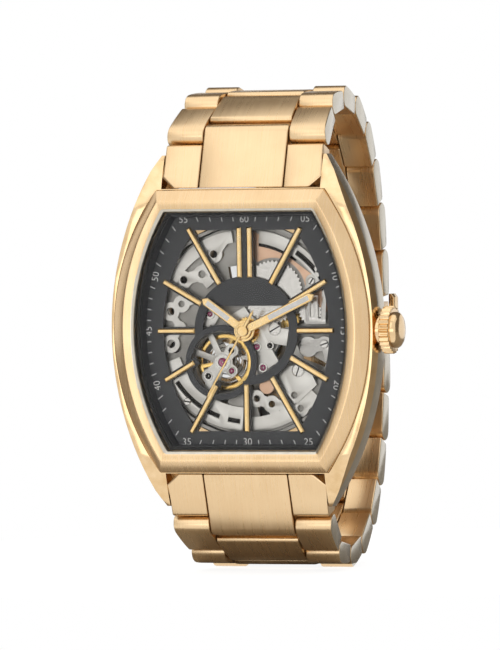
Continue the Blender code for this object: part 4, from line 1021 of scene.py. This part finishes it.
def make_levers():
    a, b = (9.2, -2.4), (11.7, -2.0)
    lever = [strut(a, b, 1.9)] + discs([b], [1.15], POST_STEPS)
    lever += [strut(b, (12.3, -4.4), 1.1)] + discs([a], [1.5])
    lobed_bridge("setting_lever", lever, [], (7.1, 7.5), STEEL_SMOOTH)
    a = (9.9, 7.1)
    click = discs([a], [1.0], POST_STEPS) + [strut(a, (9.2, 5.9), 1.1), strut(a, (11.0, 8.5), 0.8)]
    lobed_bridge("winding_click", click, [], (7.06, 7.45))
    yoke = [strut((9.9, 0.9), (9.9, 5.0), 1.9), strut((11.6, 1.0), (11.9, 6.6), 0.7)]
    yoke += [strut((9.4, 1.3), (12.0, 1.3), 0.8)]
    holes = [bar_points(1.9, 4.2, 0.6, 0, (9.9, 0.0))]
    lobed_bridge("yoke_spring", yoke, holes, (7.52, 7.72), STEEL_SMOOTH)


def make_inner_plates():
    """Thin plates on the main plate: dark sheets that paint the shade below the rim's slots and in a gap by the
    barrel, and rose gilt by the barrel.
    """
    # Dark sheets on the main plate that paint the shade in deep slots and gaps
    painted_shades = (
        ("rim_slot_painted_shade_left", (12.8, 13.8, 184, 238), 7.01),
        ("rim_slot_painted_shade", (13.2, 14.0, 33, 59), 7.04),
        ("barrel_shade", (12.3, 12.82, 8, 36), 7.04),
    )
    for name, sector, top in painted_shades:
        flat_plate(name, [sector_points(*sector)], (PLATE_D, top), 0.02, DARK_STEEL_AND_SHADE)
    behind_barrel = sector_points(4.9, 9.3, 330, 470, BARREL_AT)
    inside = [p for p in behind_barrel if math.hypot(*p) < 14.5]
    flat_plate("barrel_plate", [inside], (PLATE_D, 7.0), 0.02, ROSE_GILT)
    post = discs([(2.7, -8.1)], [1.15], POST_STEPS)
    flat_plate("click_post", post, (PLATE_D, 7.3), 0.08, ROSE_GILT)


def make_screws_and_jewels():
    screws = (
        ((7.7, -5.8), 7.6, 0.95, 20), ((11.7, -2.0), 7.5, 0.65, 70), ((4.2, 0.2), 7.5, 0.95, 60),
        ((9.9, 7.1), 7.45, 0.55, 35), ((-10.9, 10.4), 7.5, 0.55, 40), ((10.9, 8.9), 7.5, 0.55, 10),
        ((-9.4, -10.3), 7.5, 0.55, 100),
    )
    heads, slots = zip(*[screw(*row) for row in screws])
    place_bmesh("bridge_screws", merge_shapes(heads), STEEL_SMOOTH)
    # The slot strips are dark, painting the shade inside each screw's slot
    place_bmesh("screw_slots_painted_shade", merge_shapes(slots), DARK_STEEL_AND_SHADE)
    bearings = (
        (BALANCE_AT, 0.62, 0.55), ((1.4, -2.35), 0.42, 0.22), ((2.3, -5.4), 0.42, 0.22),
        ((-2.5, -5.85), 0.38, 0.2), ((-5.7, 2.4), 0.36, 0.35),
    )
    steady = ((3.4, -2.2), 0.36), ((-2.5, -2.9), 0.4), ((-6.1, -6.6), 0.4)
    stones, settings = zip(*[jewel(at, BRIDGE_FRONT_D, *sizes) for at, *sizes in bearings])
    posts, more_settings = zip(*[jewel(at, BRIDGE_FRONT_D, radius) for at, radius in steady])
    place_bmesh("steady_posts", merge_shapes(posts), DARK_STEEL_AND_SHADE)
    place_bmesh("bearing_stones", merge_shapes(stones), RUBY)
    place_bmesh("stone_settings", merge_shapes(settings + more_settings), STEEL_SMOOTH)


# Nodes that keep their shape: merged copies with rounded edges, or new finishes
def refine(node, material, body, width):
    shape = shape_of(frame["nodes"][node].data)
    shape.transform(Matrix.Scale(1 / MM, 4))
    soften(cleaned(shape, 0.002), width, 28.0, 2)
    item = place_bmesh(node + "_finished", shape, material, body)
    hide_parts(node)


def dress_nodes():
    body_of = {n: b for b, nodes in frame["record"]["behaviour"]["bodies"].items() for n in nodes}
    rounded = (
        (("clasp_base",), GOLD_SATIN, "gold_plate", 0.1),
        (("clasp_blade_12", "clasp_blade_6"), GOLD_SATIN, "gold_plate", 0.08),
        (("button_right", "button_left"), GOLD_POLISH, "gold_plate", 0.1),
        (("case_back",), GOLD_POLISH, "gold_plate", 0.12),
        (("rotor",), GOLD_SATIN_BEZEL, "gold_plate", 0.08),
        (("balance_bridge", "train_bridge"), STEEL_BLASTED, "steel", 0.06),
        (("balance_wheel",), GILT, "brass", 0.04),
        (("back_crystal",), GLASS, "glass", 0.1),
        (("rotor_bearing",), STEEL_SMOOTH, "steel", 0.06),
    )
    for nodes, material, slot, width in rounded:
        for node in nodes:
            refine(node, material, body_of[node], width)
    steel = ("spring_bar_12", "spring_bar_6", "stem", "ratchet_wheel", "crown_wheel")
    steel += ("escape_wheel", "pallet_fork", "hairspring", "mainspring")
    plain = (
        # The main plate and movement ring take the darker copy, painted shade under the bridges
        (STEEL_SHADE, ("main_plate", "movement_ring")),
        (STEEL_BLASTED, ("rear_bridge",)),
        (RUBBER, ("back_gasket",)),
        (STEEL_SMOOTH, steel),
        (GILT, ("barrel", "fourth_wheel", "centre_wheel", "third_wheel", "hour_wheel")),
    )
    for material, nodes in plain:
        for node in nodes:
            mesh = frame["nodes"][node].data
            mesh.materials.clear()
            mesh.materials.append(material)


# Studio
def make_world():
    world = bpy.data.worlds.new("white_studio")
    bpy.context.scene.world = world
    world.use_nodes = True
    world.node_tree.nodes.clear()
    path = add(world, "ShaderNodeLightPath").outputs
    rays = {0: path["Is Camera Ray"], 1: path["Is Glossy Ray"]}
    seen = add(world, "ShaderNodeMath", rays, operation="ADD").outputs[0]
    shown = add(world, "ShaderNodeMath", {0: seen, 1: path["Is Transmission Ray"]}, operation="ADD")
    white = add(world, "ShaderNodeBackground", {"Color": (1, 1, 1, 1), "Strength": 1.0})
    room = add(world, "ShaderNodeBackground", {"Color": linear("#F2F0EC"), "Strength": 0.8})
    parts = {0: shown.outputs[0], 1: room.outputs[0], 2: white.outputs[0]}
    mixed = add(world, "ShaderNodeMixShader", parts).outputs[0]
    add(world, "ShaderNodeOutputWorld", {"Surface": mixed})


def aim(place, target):
    """The turn that faces a lamp or a card from its place to a target."""
    return (Vector(target) - Vector(place)).to_track_quat("-Z", "Y")


def area_light(name, place, target, size, energy):
    data = bpy.data.lights.new(name, "AREA")
    data.shape = "RECTANGLE"
    data.size, data.size_y = size
    data.energy = energy
    data.color = (1, 1, 1)
    item = linked(name, data)
    item.location = place
    item.rotation_euler = aim(place, target).to_euler()


def card(name, place, target, size, material):
    """A grey card beside the set, which only the metal reflects."""
    shape = bmesh.new()
    bmesh.ops.create_grid(shape, x_segments=2, y_segments=2, size=0.5)
    mesh = mesh_of(name, shape)
    turn = aim(place, target).to_matrix().to_4x4()
    mesh.transform(Matrix.Translation(place) @ turn @ Matrix.Diagonal((size[0], size[1], 1, 1)))
    mesh.materials.append(material)
    item = linked(name, mesh)
    item.visible_camera = False
    item.visible_shadow = False
    item.visible_diffuse = False


def make_studio():
    make_world()
    low = CAD_BOX[0].z
    floor = bmesh.new()
    # The floor ends a little past the shadow, so that an opened bracelet hanging below it still shows
    bmesh.ops.create_circle(floor, cap_ends=True, radius=FLOOR_RADIUS, segments=64)
    mesh = mesh_of("studio_floor", floor)
    mesh.transform(Matrix.Translation((0, 0.02, low - FLOOR_GAP)))
    material, shader, _ = new_material("white_paper_floor")
    grain = add(material, "ShaderNodeTexNoise", {"Scale": 400.0})
    colour = ramp(material, grain.outputs["Fac"], ((0.3, "#7C7C7C"), (0.7, "#828282")))
    attach(material, shader, {"Base Color": colour, "Roughness": 0.9})
    attach(material, shader, {"Emission Color": (1, 1, 1, 1), "Emission Strength": 0.88})
    mesh.materials.append(material)
    linked("studio_floor", mesh)
    card("card_behind", (0, 0.55, 0.5), (0, 0, 0.05), (1.6, 0.75), CARD_DARK)
    card("card_left", (-0.75, -0.35, 0.15), (0, 0, 0), (0.8, 0.9), CARD_GREY)
    card("card_right", (0.65, 0.3, 0.1), (0, 0, 0), (0.9, 0.6), CARD_DARK)
    card("card_under", (0, 0.187, low + 0.0005), (0, 0.187, -1), (0.8, 0.4), CARD_GREY)
    area_light("key_softbox", (-0.3, -0.7, 0.5), (0, 0, 0), (0.8, 0.6), 0.8)
    area_light("top_softbox", (0.0, -0.1, 0.7), (0, 0, 0), (1.0, 0.6), 0.7)
    area_light("front_strip", (0.1, -0.8, -0.02), (0, 0, 0), (0.9, 0.2), 0.6)


def make_camera():
    azimuth, elevation = math.radians(CAMERA_AZIMUTH), math.radians(CAMERA_ELEVATION)
    flat = math.cos(elevation)
    way = Vector((math.sin(azimuth) * flat, -math.cos(azimuth) * flat, math.sin(elevation)))
    place = Vector((0, -0.008, 0)) + way * CAMERA_DISTANCE
    data = bpy.data.cameras.new("photo_camera")
    item = linked("photo_camera", data)
    turn = (-way).to_track_quat("-Z", "Y").to_matrix().to_4x4()
    roll = Matrix.Rotation(math.radians(CAMERA_ROLL), 4, "Z")
    item.matrix_world = Matrix.Translation(place) @ turn @ roll
    data.sensor_fit = "HORIZONTAL"
    data.sensor_width = SENSOR
    data.lens = FOCAL_PIXELS / PHOTO_WIDTH * SENSOR
    data.shift_x = 3.5 / PHOTO_WIDTH
    data.shift_y = 5.6 / PHOTO_WIDTH
    data.clip_start = 0.05
    bpy.context.scene.camera = item


def make_watch():
    make_case()
    make_bezel()
    make_crown()
    for side in (1, -1):
        make_end_link(side)
        for number in range(1, ROWS + 1):
            make_row(side, number)
    make_dial()
    make_indices()
    make_minute_track()
    make_hands()
    make_left_bridges()
    make_right_bridges()
    make_levers()
    make_inner_plates()
    make_screws_and_jewels()
    dress_nodes()


bpy.context.scene.view_settings.view_transform = "Standard"
make_watch()
make_studio()
make_camera()
